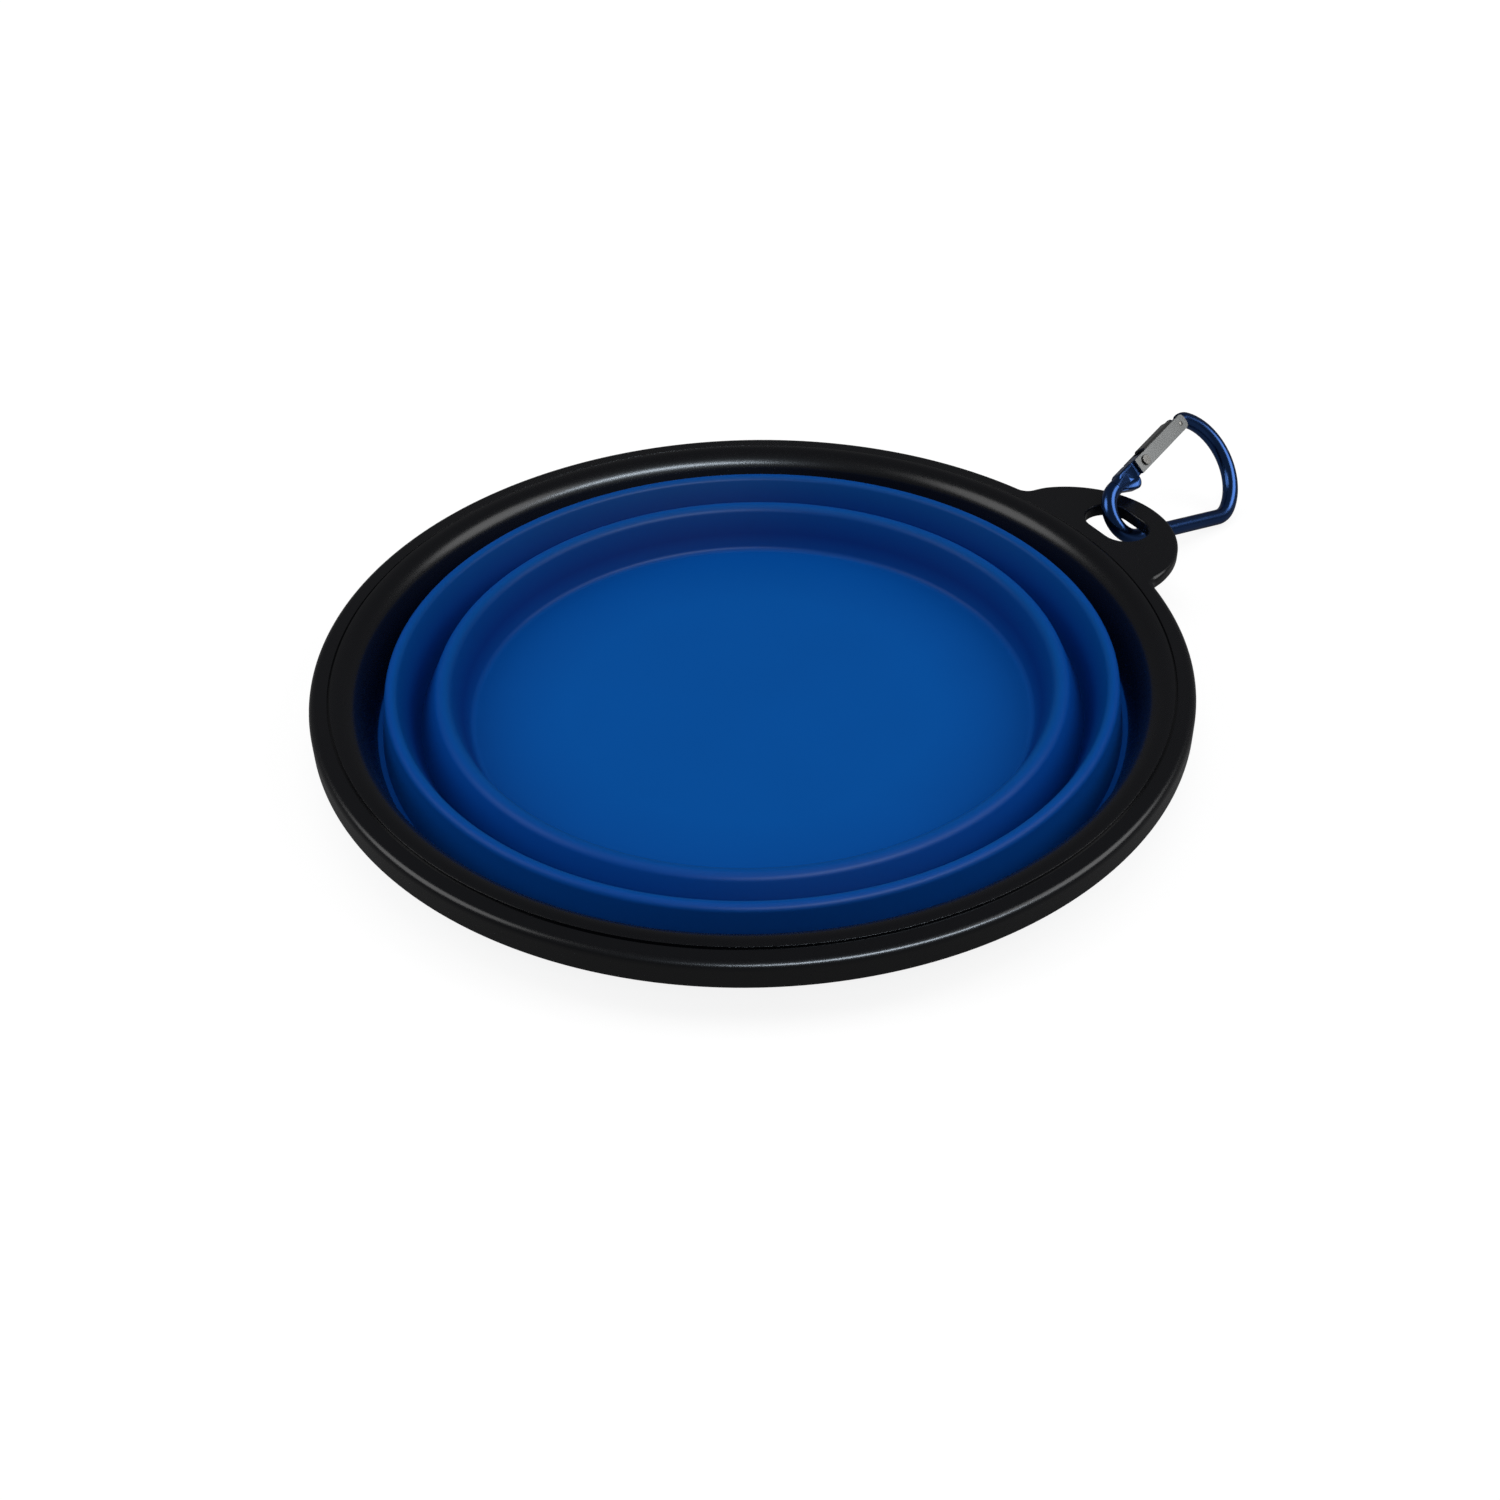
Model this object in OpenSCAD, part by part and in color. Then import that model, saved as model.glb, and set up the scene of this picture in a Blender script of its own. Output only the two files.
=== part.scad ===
// Collapsible pet bowl, folded flat, with a spring clip on its lug.
// Frame: the bowl's axis is Z, the table is z = 0 and the lug points to +X.
// The bowl stands on its floor. The middle tier and the rim rise along Z as
// the two fold webs turn over. All lengths are in millimetres.

/* [Rim] */
// Outer diameter of the rim
rim_d = 180; // [160:1:210]
// Width of the rim's top face, from the skirt to the inner edge
rim_w = 10; // [9:0.5:12]
// Height of the rim's outer band above the table
rim_h = 14; // [13:0.5:17]
// Wall thickness of the rim
rim_t = 2; // [1.6:0.1:2.2]
// Height of the outer skirt
skirt_h = 5.5; // [4.5:0.5:8]
// Radius of the skirt's top corner
skirt_edge_r = 1.5; // [0.8:0.1:1.6]
// Rise of the rolled inner band above the outer band
crown_h = 0.4; // [0.3:0.1:0.8]
// Radius of the rolled inner band
crown_r = 4.6; // [4.2:0.1:5]
// Distance from the rim's outer edge to the groove
groove_in = 4; // [3:0.1:4.5]
// Width of the groove
groove_w = 0.5; // [0.4:0.1:0.8]
// Depth of the groove
groove_depth = 0.5; // [0.3:0.1:0.8]
// Lean of the inner wall towards its foot, from the vertical
wall_lean = 17; // [12:0.5:20]

/* [Lug] */
// Radius of the round lug
lug_r = 22.6; // [20:0.2:24]
// How far the lug reaches out past the rim
lug_reach = 16.5; // [15:0.5:18]
// Thickness of the lug
lug_t = 3; // [2.4:0.1:3.4]
// Radius of the lug's rounded edges
lug_edge_r = 0.8; // [0.4:0.1:1]
// Radius of the blend between the lug and the rim
lug_blend_r = 3; // [2:0.5:6]
// Width of the lug's slot, along the radius
slot_w = 10.6; // [10.2:0.1:11.2]
// Length of the lug's slot, around the rim
slot_l = 16.2; // [15.8:0.1:17]
// Material outside the slot
slot_edge = 5.5; // [4.5:0.5:6]

/* [Silicone] */
// Thickness of the floor
floor_t = 2; // [1.6:0.1:2.6]
// Thickness of the fold webs
web_t = 1.2; // [0.8:0.1:1.4]
// Radial run of a tier, from its foot to its crest
tier_run = 4.3; // [3.5:0.1:5]
// Radial run of the upper fold web
upper_web_run = 3; // [2.6:0.1:4]
// Radial run of the lower fold web
lower_web_run = 5.9; // [5:0.1:7]
// Height of the upper crest above the table
upper_crest_h = 13.2; // [12:0.1:14]
// Height of the lower crest above the table
lower_crest_h = 11.6; // [10:0.1:13]
// Radius of the rounded upper crest
upper_crest_r = 1.4; // [1.2:0.1:1.5]
// Radius of the rounded lower crest
lower_crest_r = 2; // [1.6:0.1:2.2]
// Radius of the fillet round the floor
floor_fillet_r = 1.5; // [1:0.1:3]
// Height of the valleys above the table
valley_h = 0.4; // [0.3:0.1:1]
// Radius of the rounded valleys
valley_r = 1.2; // [1.1:0.05:1.3]
// Distance from the foot of the rim's wall in to the upper valley
valley_in = 1; // [0.9:0.1:1.4]
// Thickness of the collar that grips the rim
collar_t = 1.6; // [1.2:0.1:2]
// Height of the collar, along the rim's wall
collar_h = 7; // [5:0.5:8]

/* [Clip frame] */
// Diameter of the clip's wire
wire_d = 3.6; // [3:0.1:3.8]
// Centre line radius of the narrow end
narrow_r = 6.1; // [5.8:0.1:6.4]
// Centre line radius of the wide end
wide_r = 13.3; // [13:0.1:13.8]
// Height of the wide end's centre above the spine
wide_h = 11.9; // [11.6:0.1:12.4]
// Centre line radius between the spine and the wide end
corner_r = 7; // [5.5:0.1:7.5]
// Centre line radius between the wide end and the gate
nose_r = 2.8; // [2.5:0.1:3.1]
// Straight length of the spine
spine_l = 28.2; // [27.4:0.1:29.4]
// Angle between the spine and the gate
gate_angle = 23.5; // [22.5:0.1:24.5]
// Thickness of the wire's flattened paddle
paddle_t = 2.8; // [2.6:0.1:3]
// Width of the paddle at its end
paddle_w = 5.8; // [5.2:0.1:6.4]
// Length of the paddle
paddle_l = 6.6; // [6:0.1:7]
// Gap between the paddle and the gate's tail
paddle_gap = 1; // [0.6:0.1:1.4]
// Spread of the paddle past the wire on its outer side
paddle_spread = 0.2; // [0.1:0.05:0.4]
// Thickness of the tang and the tongue inside the gate
tang_t = 2.4; // [2:0.1:2.5]

/* [Clip pose] */
// Distance from the slot's centre out to the narrow end's lowest point
clip_out = 7; // [6.8:0.1:7.3]
// Sideways offset of the narrow end's lowest point
clip_side = 0.2; // [-0.3:0.1:0.6]
// Depth of the narrow end's lowest point below the lug's top
clip_drop = 6.1; // [5.9:0.1:6.3]
// Turn of the clip about the vertical
clip_yaw = 6.5; // [5:0.5:8]
// Fall of the spine towards the table
clip_pitch = 11.5; // [10.5:0.5:12]
// Tilt of the clip's plane out of the horizontal
clip_tilt = 47; // [46:0.5:49]

/* [Gate] */
// Sheet thickness of the gate
gate_t = 0.5; // [0.4:0.05:0.6]
// Gap between the gate's two cheeks
gate_gap = 2.8; // [2.7:0.05:3]
// Height of the cheeks, across the gate
gate_h = 4.1; // [3.8:0.1:4.3]
// Distance from the narrow end to the rivet, along the gate
pivot_in = 12.2; // [12:0.1:12.8]
// Length of the gate's tail behind the rivet
gate_tail = 3; // [2.8:0.1:3.2]
// Corner radius of the cheeks at the tip
gate_tip_r = 1.3; // [0.8:0.1:1.6]
// Outer radius of the folds between the back and the cheeks
gate_fold_r = 0.8; // [0.6:0.05:1]
// Gap in the gate's back over the rivet, measured from it
back_start = 2.3; // [2.1:0.1:2.8]
// Gap in the gate's back at the tip
back_end = 4.5; // [4.3:0.1:4.8]
// Diameter of the rivet
rivet_d = 1.5; // [1.2:0.1:1.6]
// Diameter of the rivet's heads
rivet_head_d = 2.4; // [2.2:0.1:2.8]
// Height of the rivet's heads
rivet_head_h = 0.4; // [0.3:0.05:0.5]
// Diameter of the latch pin
latch_d = 1.2; // [1:0.05:1.3]
// Distance from the tip to the latch pin
latch_in = 2.2; // [2:0.1:2.4]
// Outer diameter of the gate's spring
spring_d = 2.2; // [2:0.05:2.3]
// Diameter of the spring's wire
spring_wire_d = 0.36; // [0.3:0.02:0.4]
// Number of turns of the spring
spring_turns = 6; // [4:1:6]
// Length of the spring
spring_l = 5.6; // [5.4:0.1:7]
// Diameter of the plunger's stem
stem_d = 1.1; // [0.9:0.05:1.2]

/* [Fits] */
// Gap between a fold web and the beads at its two ends
fold_gap = 0.3; // [0.2:0.05:0.4]
// Gap between the collar and the rim
seat_gap = 0.1; // [0.05:0.05:0.2]
// Radial clearance of the rivet in the gate
run_gap = 0.05; // [0.03:0.01:0.1]
// Clearance beside the tang, the tongue and the rivet's heads
side_gap = 0.1; // [0.05:0.05:0.15]

/* [Hidden] */
// Overrun of every cut past the face it opens
over = 1;
// Lap and rise of the sleeves that join two lengths of one wire
lap = 0.2;
lap_rise = 0.01;
// How deep a flank or a fillet is let into the round or the flank that it touches
sink = 0.01;
$fn = 96;

// Colours
SILICONE = [0.01, 0.30, 0.59];
PLASTIC = [0.12, 0.12, 0.14];
ANODISED = [0.13, 0.22, 0.50];
SHEET = [0.62, 0.63, 0.64];
STEEL = [0.72, 0.72, 0.74];

// The rolled band and the inner wall, whose foot stands over the upper valley
rim_r = rim_d / 2;
inner_r = rim_r - rim_w;
band_r = rim_r - groove_in;
crown_at = [inner_r + crown_r, rim_h + crown_h - crown_r];
wall_out = [cos(wall_lean), -sin(wall_lean)];
wall_down = [-sin(wall_lean), -cos(wall_lean)];
wall_top = crown_at - crown_r * wall_out;
valley_z = valley_h + valley_r;
foot_z = valley_z + valley_r + seat_gap;
wall_foot = down_to(wall_top, foot_z);
collar_foot = down_to(wall_top + (rim_t + seat_gap + collar_t / 2) * wall_out, valley_z);
collar_top = collar_foot - collar_h * wall_down;

// Radii of the section, worked inwards from the wall's foot
upper_valley_at = wall_foot[0] - valley_in;
upper_crest_at = upper_valley_at - upper_web_run;
lower_valley_at = upper_crest_at - tier_run;
lower_crest_at = lower_valley_at - lower_web_run;
floor_r = lower_crest_at - tier_run;

// Centres of the rounded crests and valleys, as [radius, height]
upper_crest = [upper_crest_at, upper_crest_h - upper_crest_r];
lower_crest = [lower_crest_at, lower_crest_h - lower_crest_r];
upper_valley = [upper_valley_at, valley_z];
lower_valley = [lower_valley_at, valley_z];
floor_edge = [floor_r, floor_t / 2];

// Point of the wall's slope through a point, at a height
function down_to(point, z) = point + (point[1] - z) / cos(wall_lean) * wall_down;

// Normal of the line that touches two circles, on the side that s names
function touch_normal(a, b, ra, rb, s) =
    let (d = norm(b - a), u = (b - a) / d, along = (ra - rb) / d)
    along * u + s * sqrt(1 - along * along) * [-u[1], u[0]];

// The lug and its slot
lug_at = rim_r + lug_reach - lug_r;
slot_at = rim_r + lug_reach - slot_edge - slot_w / 2;
slot_half = (slot_l - slot_w) / 2;
blend_x = (pow(rim_r + lug_blend_r, 2) - pow(lug_r + lug_blend_r, 2) + pow(lug_at, 2)) / (2 * lug_at);
blend_y = sqrt(pow(rim_r + lug_blend_r, 2) - pow(blend_x, 2));
blend_at = [blend_x, blend_y];

// The clip's outline in its own plane: X runs along the spine and the
// narrow end's centre stands over the origin
wire_r = wire_d / 2;
narrow_at = [0, narrow_r];
corner_at = [spine_l, corner_r];
wide_at = [spine_l - sqrt(pow(wide_r - corner_r, 2) - pow(wide_h - corner_r, 2)), wide_h];
gate_dir = [cos(gate_angle), sin(gate_angle)];
gate_out = [-sin(gate_angle), cos(gate_angle)];
gate_line_at = narrow_at + narrow_r * gate_out;
wide_in = -(wide_at - gate_line_at) * gate_out;
nose_along = (wide_at - gate_line_at) * gate_dir
             + sqrt(pow(wide_r - nose_r, 2) - pow(wide_in - nose_r, 2));
nose_at = gate_line_at + nose_along * gate_dir - nose_r * gate_out;
corner_end_angle = atan2(corner_at[1] - wide_at[1], corner_at[0] - wide_at[0]);
nose_start_angle = atan2(nose_at[1] - wide_at[1], nose_at[0] - wide_at[0]);

// Stations along the gate's line, from the narrow end
paddle_start = pivot_in - gate_tail - paddle_gap - paddle_l;
paddle_end = paddle_start + paddle_l;
gate_end = nose_along - 2 * side_gap;
latch_at = gate_end - latch_in;
tang_r = (gate_h - gate_t) / 2;
tongue_start = gate_end - back_end + gate_t;
plunger_at = pivot_in + tang_r + side_gap;
plunger_head_h = gate_t;
spring_at = plunger_at + plunger_head_h + side_gap;
seat_at = spring_at + spring_l + side_gap;

// Tier between two rounded ends, touching both
module tier(a, b, ra, rb) {
    left = touch_normal(a, b, ra, rb, 1);
    right = touch_normal(a, b, ra, rb, -1);
    qa = ra - sink;
    qb = rb - sink;
    polygon([a + qa * right, b + qb * right, b + qb * left, a + qa * left]);
    translate(a) circle(r = ra);
    translate(b) circle(r = rb);
}

// Section of the lower tier, grown by the given gap
module lower_tier(grow = 0) {
    tier(floor_edge, lower_crest, floor_t / 2 + grow, lower_crest_r + grow);
}

// Section of the middle tier, grown by the given gap
module middle_tier(grow = 0) {
    tier(lower_valley, upper_crest, valley_r + grow, upper_crest_r + grow);
}

// Revolves a section about the bowl's axis
module revolve() {
    rotate_extrude($fn = 180) children();
}

// Fold web, flush with the outer side of a crest and the underside of a valley, less its children
module web(crest, crest_r, valley) {
    out = touch_normal(crest, valley, crest_r, web_t - valley_r, 1);
    revolve() difference() {
        polygon([crest + (crest_r - web_t) * out, valley - valley_r * out,
                 valley + (web_t - valley_r) * out, crest + crest_r * out]);
        children();
    }
}

// Fillet between the floor and the lower tier
module floor_fillet() {
    inward = touch_normal(floor_edge, lower_crest, floor_t / 2, lower_crest_r, 1);
    up = [inward[1], -inward[0]];
    start = floor_edge + inward * floor_t / 2;
    corner = start + (floor_t - start[1]) / up[1] * up;
    reach = floor_fillet_r * tan(atan2(up[1], up[0]) / 2);
    centre = corner + [-reach, floor_fillet_r];
    difference() {
        polygon([centre, centre - [0, floor_fillet_r + floor_t / 2], corner - [0, floor_t / 2],
                 corner + reach * up - inward * floor_t / 2, corner + reach * up]);
        translate(centre) circle(r = floor_fillet_r);
    }
}

// Floor and lower tier, up to the lower crest
module base_cup() {
    color(SILICONE) revolve() {
        square([floor_r, floor_t]);
        lower_tier();
        floor_fillet();
    }
}

// Web between the lower crest and the lower valley
module lower_web() {
    color(SILICONE) web(lower_crest, lower_crest_r, lower_valley) {
        lower_tier(fold_gap);
        middle_tier(fold_gap);
    }
}

// Middle tier, from the lower valley up to the upper crest
module middle_ring() {
    color(SILICONE) revolve() middle_tier();
}

// Web between the upper crest and the upper valley
module upper_web() {
    color(SILICONE) web(upper_crest, upper_crest_r, upper_valley) {
        middle_tier(fold_gap);
        translate(upper_valley) circle(r = valley_r + fold_gap);
    }
}

// Upper valley and the collar moulded round the foot of the rim's inner wall
module upper_ring() {
    half = collar_t / 2 * wall_out;
    color(SILICONE) revolve() {
        translate(upper_valley) circle(r = valley_r);
        translate([upper_valley_at, valley_h])
            square([collar_foot[0] - upper_valley_at, 2 * valley_r]);
        translate(collar_foot) circle(r = valley_r);
        polygon([collar_foot - half, collar_foot + half, collar_top + half, collar_top - half]);
        translate(collar_top) circle(d = collar_t);
    }
}

// Section of the rim: skirt, flat outer band, groove, rolled inner band and inner wall
module rim_section() {
    difference() {
        union() {
            translate([rim_r - rim_t, rim_h - skirt_h])
                square([rim_t, skirt_h - skirt_edge_r]);
            translate([band_r - rim_t, rim_h - rim_t])
                square([groove_in + rim_t - skirt_edge_r, rim_t]);
            translate([rim_r - skirt_edge_r, rim_h - skirt_edge_r])
                circle(r = skirt_edge_r);
            intersection() {
                translate(crown_at) difference() {
                    circle(r = crown_r);
                    circle(r = crown_r - rim_t);
                }
                polygon([crown_at, crown_at - 2 * crown_r * wall_out, crown_at + [-2 * crown_r, 2 * crown_r],
                         [band_r, crown_at[1] + 2 * crown_r], [band_r, crown_at[1]]]);
            }
            polygon([wall_top, wall_foot, down_to(wall_top + rim_t * wall_out, foot_z),
                     wall_top + rim_t * wall_out]);
        }
        translate([band_r - groove_w / 2, rim_h - groove_depth])
            square([groove_w, groove_depth + 2 * crown_h]);
    }
}

// Lug outline with its two concave blends, as a flat plate
module lug_plate() {
    translate([lug_at, 0, 0]) rotate_extrude() {
        square([lug_r - lug_edge_r, lug_t]);
        translate([0, lug_edge_r]) square([lug_r, lug_t - 2 * lug_edge_r]);
        for (z = [lug_edge_r, lug_t - lug_edge_r])
            translate([lug_r - lug_edge_r, z]) circle(r = lug_edge_r);
    }
    for (s = [1, -1]) scale([1, s, 1]) linear_extrude(lug_t) difference() {
        to_rim = blend_at * rim_r / (rim_r + lug_blend_r);
        to_lug = blend_at + ([lug_at, 0] - blend_at) * lug_blend_r / (lug_r + lug_blend_r);
        polygon([[rim_r - rim_t, to_lug[1] - lug_blend_r], to_rim, blend_at, to_lug]);
        translate(blend_at) circle(r = lug_blend_r);
    }
}

// Slot through the lug
module slot_cut() {
    translate([slot_at, 0, rim_h - skirt_h - over]) {
        for (s = [1, -1]) translate([0, s * slot_half, 0])
            cylinder(d = slot_w, h = skirt_h + 2 * over);
        translate([-slot_w / 2, -slot_half, 0])
            cube([slot_w, 2 * slot_half, skirt_h + 2 * over]);
    }
}

// Moulded rim with its lug
module rim() {
    color(PLASTIC) difference() {
        union() {
            revolve() rim_section();
            difference() {
                translate([0, 0, rim_h - lug_t]) lug_plate();
                translate([0, 0, rim_h - lug_t - over])
                    cylinder(r = rim_r - skirt_edge_r - lap, h = lug_t + 2 * over, $fn = 180);
            }
        }
        slot_cut();
    }
}

// Places the clip's own plane in the bowl's frame
module clip_pose() {
    translate([slot_at + clip_out, clip_side, rim_h - clip_drop])
        rotate([clip_tilt, clip_pitch, clip_yaw])
            children();
}

// Places X along the gate, Y outwards and Z across the clip
module gate_pose() {
    clip_pose() translate(gate_line_at) rotate(gate_angle) children();
}

// Round wire bent on a centre line radius, with a sleeve where it starts
module bend(at, r, from, to) {
    translate(at) rotate(from) {
        rotate_extrude(angle = to - from) translate([r, 0]) circle(d = wire_d, $fn = 48);
        translate([r, 0, 0]) rotate([90, 0, 0])
            cylinder(d = wire_d + 2 * lap_rise, h = lap, center = true, $fn = 48);
    }
}

// Flat plate across the clip, centred on its plane
module plate(t) {
    translate([0, 0, -t / 2]) linear_extrude(t) children();
}

// Outline of the paddle, the flattened end of the wire behind the gate
module paddle_outline() {
    end_r = paddle_w / 3;
    top = wire_r + paddle_spread;
    end_at = [paddle_end - end_r, top - paddle_w + end_r];
    neck = [paddle_start, -wire_r / 2];
    reach = end_at - neck;
    bow = atan2(reach[1], reach[0]) - asin(end_r / norm(reach));
    touch = end_at - end_r * [-sin(bow), cos(bow)];
    polygon([[paddle_start, wire_r / 2], [paddle_start + wire_r, top], [paddle_end, top],
             [paddle_end, end_at[1]], end_at, touch, neck]);
    translate(end_at) circle(r = end_r, $fn = 48);
}

// Tongue at the nose, with the notch that the latch pin sits in
module tongue_outline() {
    notch_w = latch_d + 4 * side_gap;
    difference() {
        translate([tongue_start, -tang_r + gate_t])
            square([nose_along + lap - tongue_start, 2 * (tang_r - gate_t)]);
        translate([latch_at - notch_w / 2, -tang_r])
            square([notch_w, tang_r]);
        translate([latch_at, 0]) circle(d = notch_w, $fn = 48);
    }
}

// Bent wire of the clip with its paddle, tang and nose
module clip_frame() {
    color(ANODISED) clip_pose() {
        rotate([0, 90, 0]) cylinder(d = wire_d, h = spine_l, $fn = 48);
        bend(corner_at, corner_r, -90, corner_end_angle);
        bend(wide_at, wide_r, corner_end_angle, nose_start_angle);
        bend(nose_at, nose_r, nose_start_angle, 90 + gate_angle);
        bend(narrow_at, narrow_r, 90 + gate_angle, 270);
        rotate([0, 90, 0]) cylinder(d = wire_d + 2 * lap_rise, h = lap, center = true, $fn = 48);
    }
    color(ANODISED) gate_pose() {
        press_end = paddle_start + paddle_l / 2;
        intersection() {
            rotate([0, 90, 0]) cylinder(d = wire_d, h = press_end, $fn = 48);
            rotate([90, 0, 0]) linear_extrude(2 * wire_d, center = true)
                polygon([[-over, -wire_d], [paddle_start - wire_r, -wire_d], [press_end, -paddle_t / 2],
                         [press_end, paddle_t / 2], [paddle_start - wire_r, wire_d], [-over, wire_d]]);
        }
        plate(paddle_t) paddle_outline();
        difference() {
            plate(tang_t) {
                translate([paddle_end - tang_r, -tang_r])
                    square([pivot_in - paddle_end + tang_r, 2 * tang_r]);
                translate([pivot_in, 0]) circle(r = tang_r, $fn = 48);
            }
            translate([pivot_in, 0, -tang_t / 2 - over])
                cylinder(d = rivet_d, h = tang_t + 2 * over, $fn = 48);
        }
        plate(tang_t) tongue_outline();
    }
}

// Pin across the gate, with a head over each cheek
module cross_pin(d, head_d, head_h, gap) {
    half = gate_gap / 2 + gate_t + gap;
    translate([0, 0, -half]) cylinder(d = d, h = 2 * half, $fn = 48);
    for (z = [-half - head_h, half])
        translate([0, 0, z]) cylinder(d = head_d, h = head_h, $fn = 48);
}

// Rivet that the gate turns on
module gate_rivet() {
    color(STEEL) gate_pose() translate([pivot_in, 0, 0])
        cross_pin(rivet_d, rivet_head_d, rivet_head_h, side_gap);
}

// Outline of a cheek, square at the tail and rounded at the tip
module cheek_outline() {
    low = -tang_r;
    high = tang_r;
    start = pivot_in - gate_tail;
    translate([start, low]) square([gate_end - gate_tip_r - start, high - low]);
    translate([gate_end - gate_tip_r, low + gate_tip_r])
        square([gate_tip_r, high - low - 2 * gate_tip_r]);
    for (y = [low + gate_tip_r, high - gate_tip_r])
        translate([gate_end - gate_tip_r, y]) circle(r = gate_tip_r, $fn = 48);
}

// Section of the gate's back, with its two folds down to the cheeks
module back_section() {
    half = gate_gap / 2 + gate_t;
    crown = tang_r + gate_t;
    translate([tang_r, -half + gate_fold_r]) square([gate_t, 2 * (half - gate_fold_r)]);
    for (s = [1, -1]) scale([1, s]) {
        translate([crown - gate_fold_r, half - gate_fold_r]) difference() {
            intersection() {
                circle(r = gate_fold_r, $fn = 48);
                square([gate_fold_r, gate_fold_r]);
            }
            circle(r = gate_fold_r - gate_t, $fn = 48);
        }
        translate([0, half - gate_t]) square([crown - gate_fold_r, gate_t]);
    }
}

// Folded sheet gate: two cheeks, a back between them and the spring's seat
module clip_gate() {
    across = gate_gap + 2 * gate_t;
    back_from = pivot_in + back_start;
    back_to = gate_end - back_end;
    color(SHEET) gate_pose() difference() {
        union() {
            for (z = [-gate_gap / 2 - gate_t, gate_gap / 2])
                translate([0, 0, z]) linear_extrude(gate_t) cheek_outline();
            translate([back_from, 0, 0]) rotate([90, 0, 90])
                linear_extrude(back_to - back_from) back_section();
            translate([seat_at, -tang_r / 2, -gate_gap / 2 - gate_t / 2])
                cube([gate_t, tang_r * 3 / 2 + gate_t / 2, gate_gap + gate_t]);
        }
        translate([pivot_in, 0, -across])
            cylinder(d = rivet_d + 2 * run_gap, h = 2 * across, $fn = 48);
        translate([latch_at, 0, -across]) cylinder(d = latch_d, h = 2 * across, $fn = 48);
    }
}

// Latch pin fixed across the gate's tip
module latch_pin() {
    color(STEEL) gate_pose() translate([latch_at, 0, 0])
        cylinder(d = latch_d, h = gate_gap + 2 * gate_t + 2 * side_gap, center = true, $fn = 48);
}

// Coil spring in the gate's channel, one tube of six sides
module gate_spring() {
    steps = 12;
    sides = 6;
    mean_r = (spring_d - spring_wire_d) / 2;
    rise = spring_l - spring_wire_d;
    rings = spring_turns * steps;
    lean = atan2(rise / spring_turns, 2 * PI * mean_r);
    function ring_at(i) = [spring_wire_d / 2 + rise * i / rings, 360 * i / steps];
    function tube_point(i, k) =
        let (at = ring_at(i), a = 360 * k / sides, q = spring_wire_d / 2,
             out = mean_r + q * cos(a), up = q * sin(a) * cos(lean), around = -q * sin(a) * sin(lean))
        [at[0] + up, out * cos(at[1]) - around * sin(at[1]), out * sin(at[1]) + around * cos(at[1])];
    points = [for (i = [0:rings]) for (k = [0:sides - 1]) tube_point(i, k)];
    walls = [for (i = [0:rings - 1]) for (k = [0:sides - 1])
        let (a = i * sides + k, b = i * sides + (k + 1) % sides)
        each [[a, b, b + sides], [a, b + sides, a + sides]]];
    caps = [for (k = [1:sides - 2])
        each [[0, k + 1, k], [rings * sides, rings * sides + k, rings * sides + k + 1]]];
    echo(least_gap_in_spring = rise / spring_turns * cos(lean) - spring_wire_d);
    color(STEEL) gate_pose() translate([spring_at, 0, 0])
        polyhedron(points = points, faces = concat(walls, caps));
}

// Plunger that the spring pushes against the tang
module spring_plunger() {
    color(STEEL) gate_pose() translate([plunger_at, 0, 0]) rotate([0, 90, 0]) {
        cylinder(d = spring_d, h = plunger_head_h, $fn = 48);
        cylinder(d = stem_d, h = spring_l / 2, $fn = 48);
    }
}

base_cup();
lower_web();
middle_ring();
upper_web();
upper_ring();
rim();
clip_frame();
gate_rivet();
clip_gate();
latch_pin();
gate_spring();
spring_plunger();
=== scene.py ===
"""Folding pet bowl: silicone bowl, moulded rim with a lug, and a snap clip through the lug."""

import logging
from dataclasses import dataclass, field
from enum import Enum
from math import acos, asin, atan2, ceil, cos, degrees, dist, hypot, pi, radians, remainder, sin, sqrt, tan

import bmesh
import bpy
from mathutils import Matrix, Vector, geometry

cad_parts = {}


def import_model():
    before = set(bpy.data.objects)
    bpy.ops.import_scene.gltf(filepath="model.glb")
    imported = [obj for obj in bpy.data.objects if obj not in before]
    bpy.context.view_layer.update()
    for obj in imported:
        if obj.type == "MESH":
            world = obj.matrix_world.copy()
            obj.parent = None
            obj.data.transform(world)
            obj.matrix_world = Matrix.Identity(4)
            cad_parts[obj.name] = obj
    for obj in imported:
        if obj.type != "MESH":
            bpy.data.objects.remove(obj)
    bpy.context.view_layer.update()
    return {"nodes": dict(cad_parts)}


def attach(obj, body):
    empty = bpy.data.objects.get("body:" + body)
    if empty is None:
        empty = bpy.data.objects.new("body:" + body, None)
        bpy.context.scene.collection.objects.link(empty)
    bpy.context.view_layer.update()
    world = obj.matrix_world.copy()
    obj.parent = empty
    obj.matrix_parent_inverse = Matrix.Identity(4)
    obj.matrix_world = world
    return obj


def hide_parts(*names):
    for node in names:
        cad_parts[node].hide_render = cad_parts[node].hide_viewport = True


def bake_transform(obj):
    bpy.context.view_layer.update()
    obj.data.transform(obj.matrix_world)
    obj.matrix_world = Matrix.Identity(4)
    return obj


MM = 0.001
# Points of an outline nearer to each other than this, in millimetres, are one point
SAME_POINT = 1e-6
# Vertices nearer to each other than this, in metres, are merged
MERGE_REACH = 1e-7
# Vertices of a revolved skin nearer to each other than this, in metres, are merged
WELD_REACH = 1e-6
# Edges whose faces turn by more than this stay sharp
SHARP_TURN = radians(50)
# Edges whose faces turn by more than this are eased on the small metal pieces
EASED_TURN = radians(35)
# Faces that turn by less than this make one flat face
FLAT_TURN = radians(0.2)
# Most of a side that one rounded corner takes
CORNER_SHARE = 0.49
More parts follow.
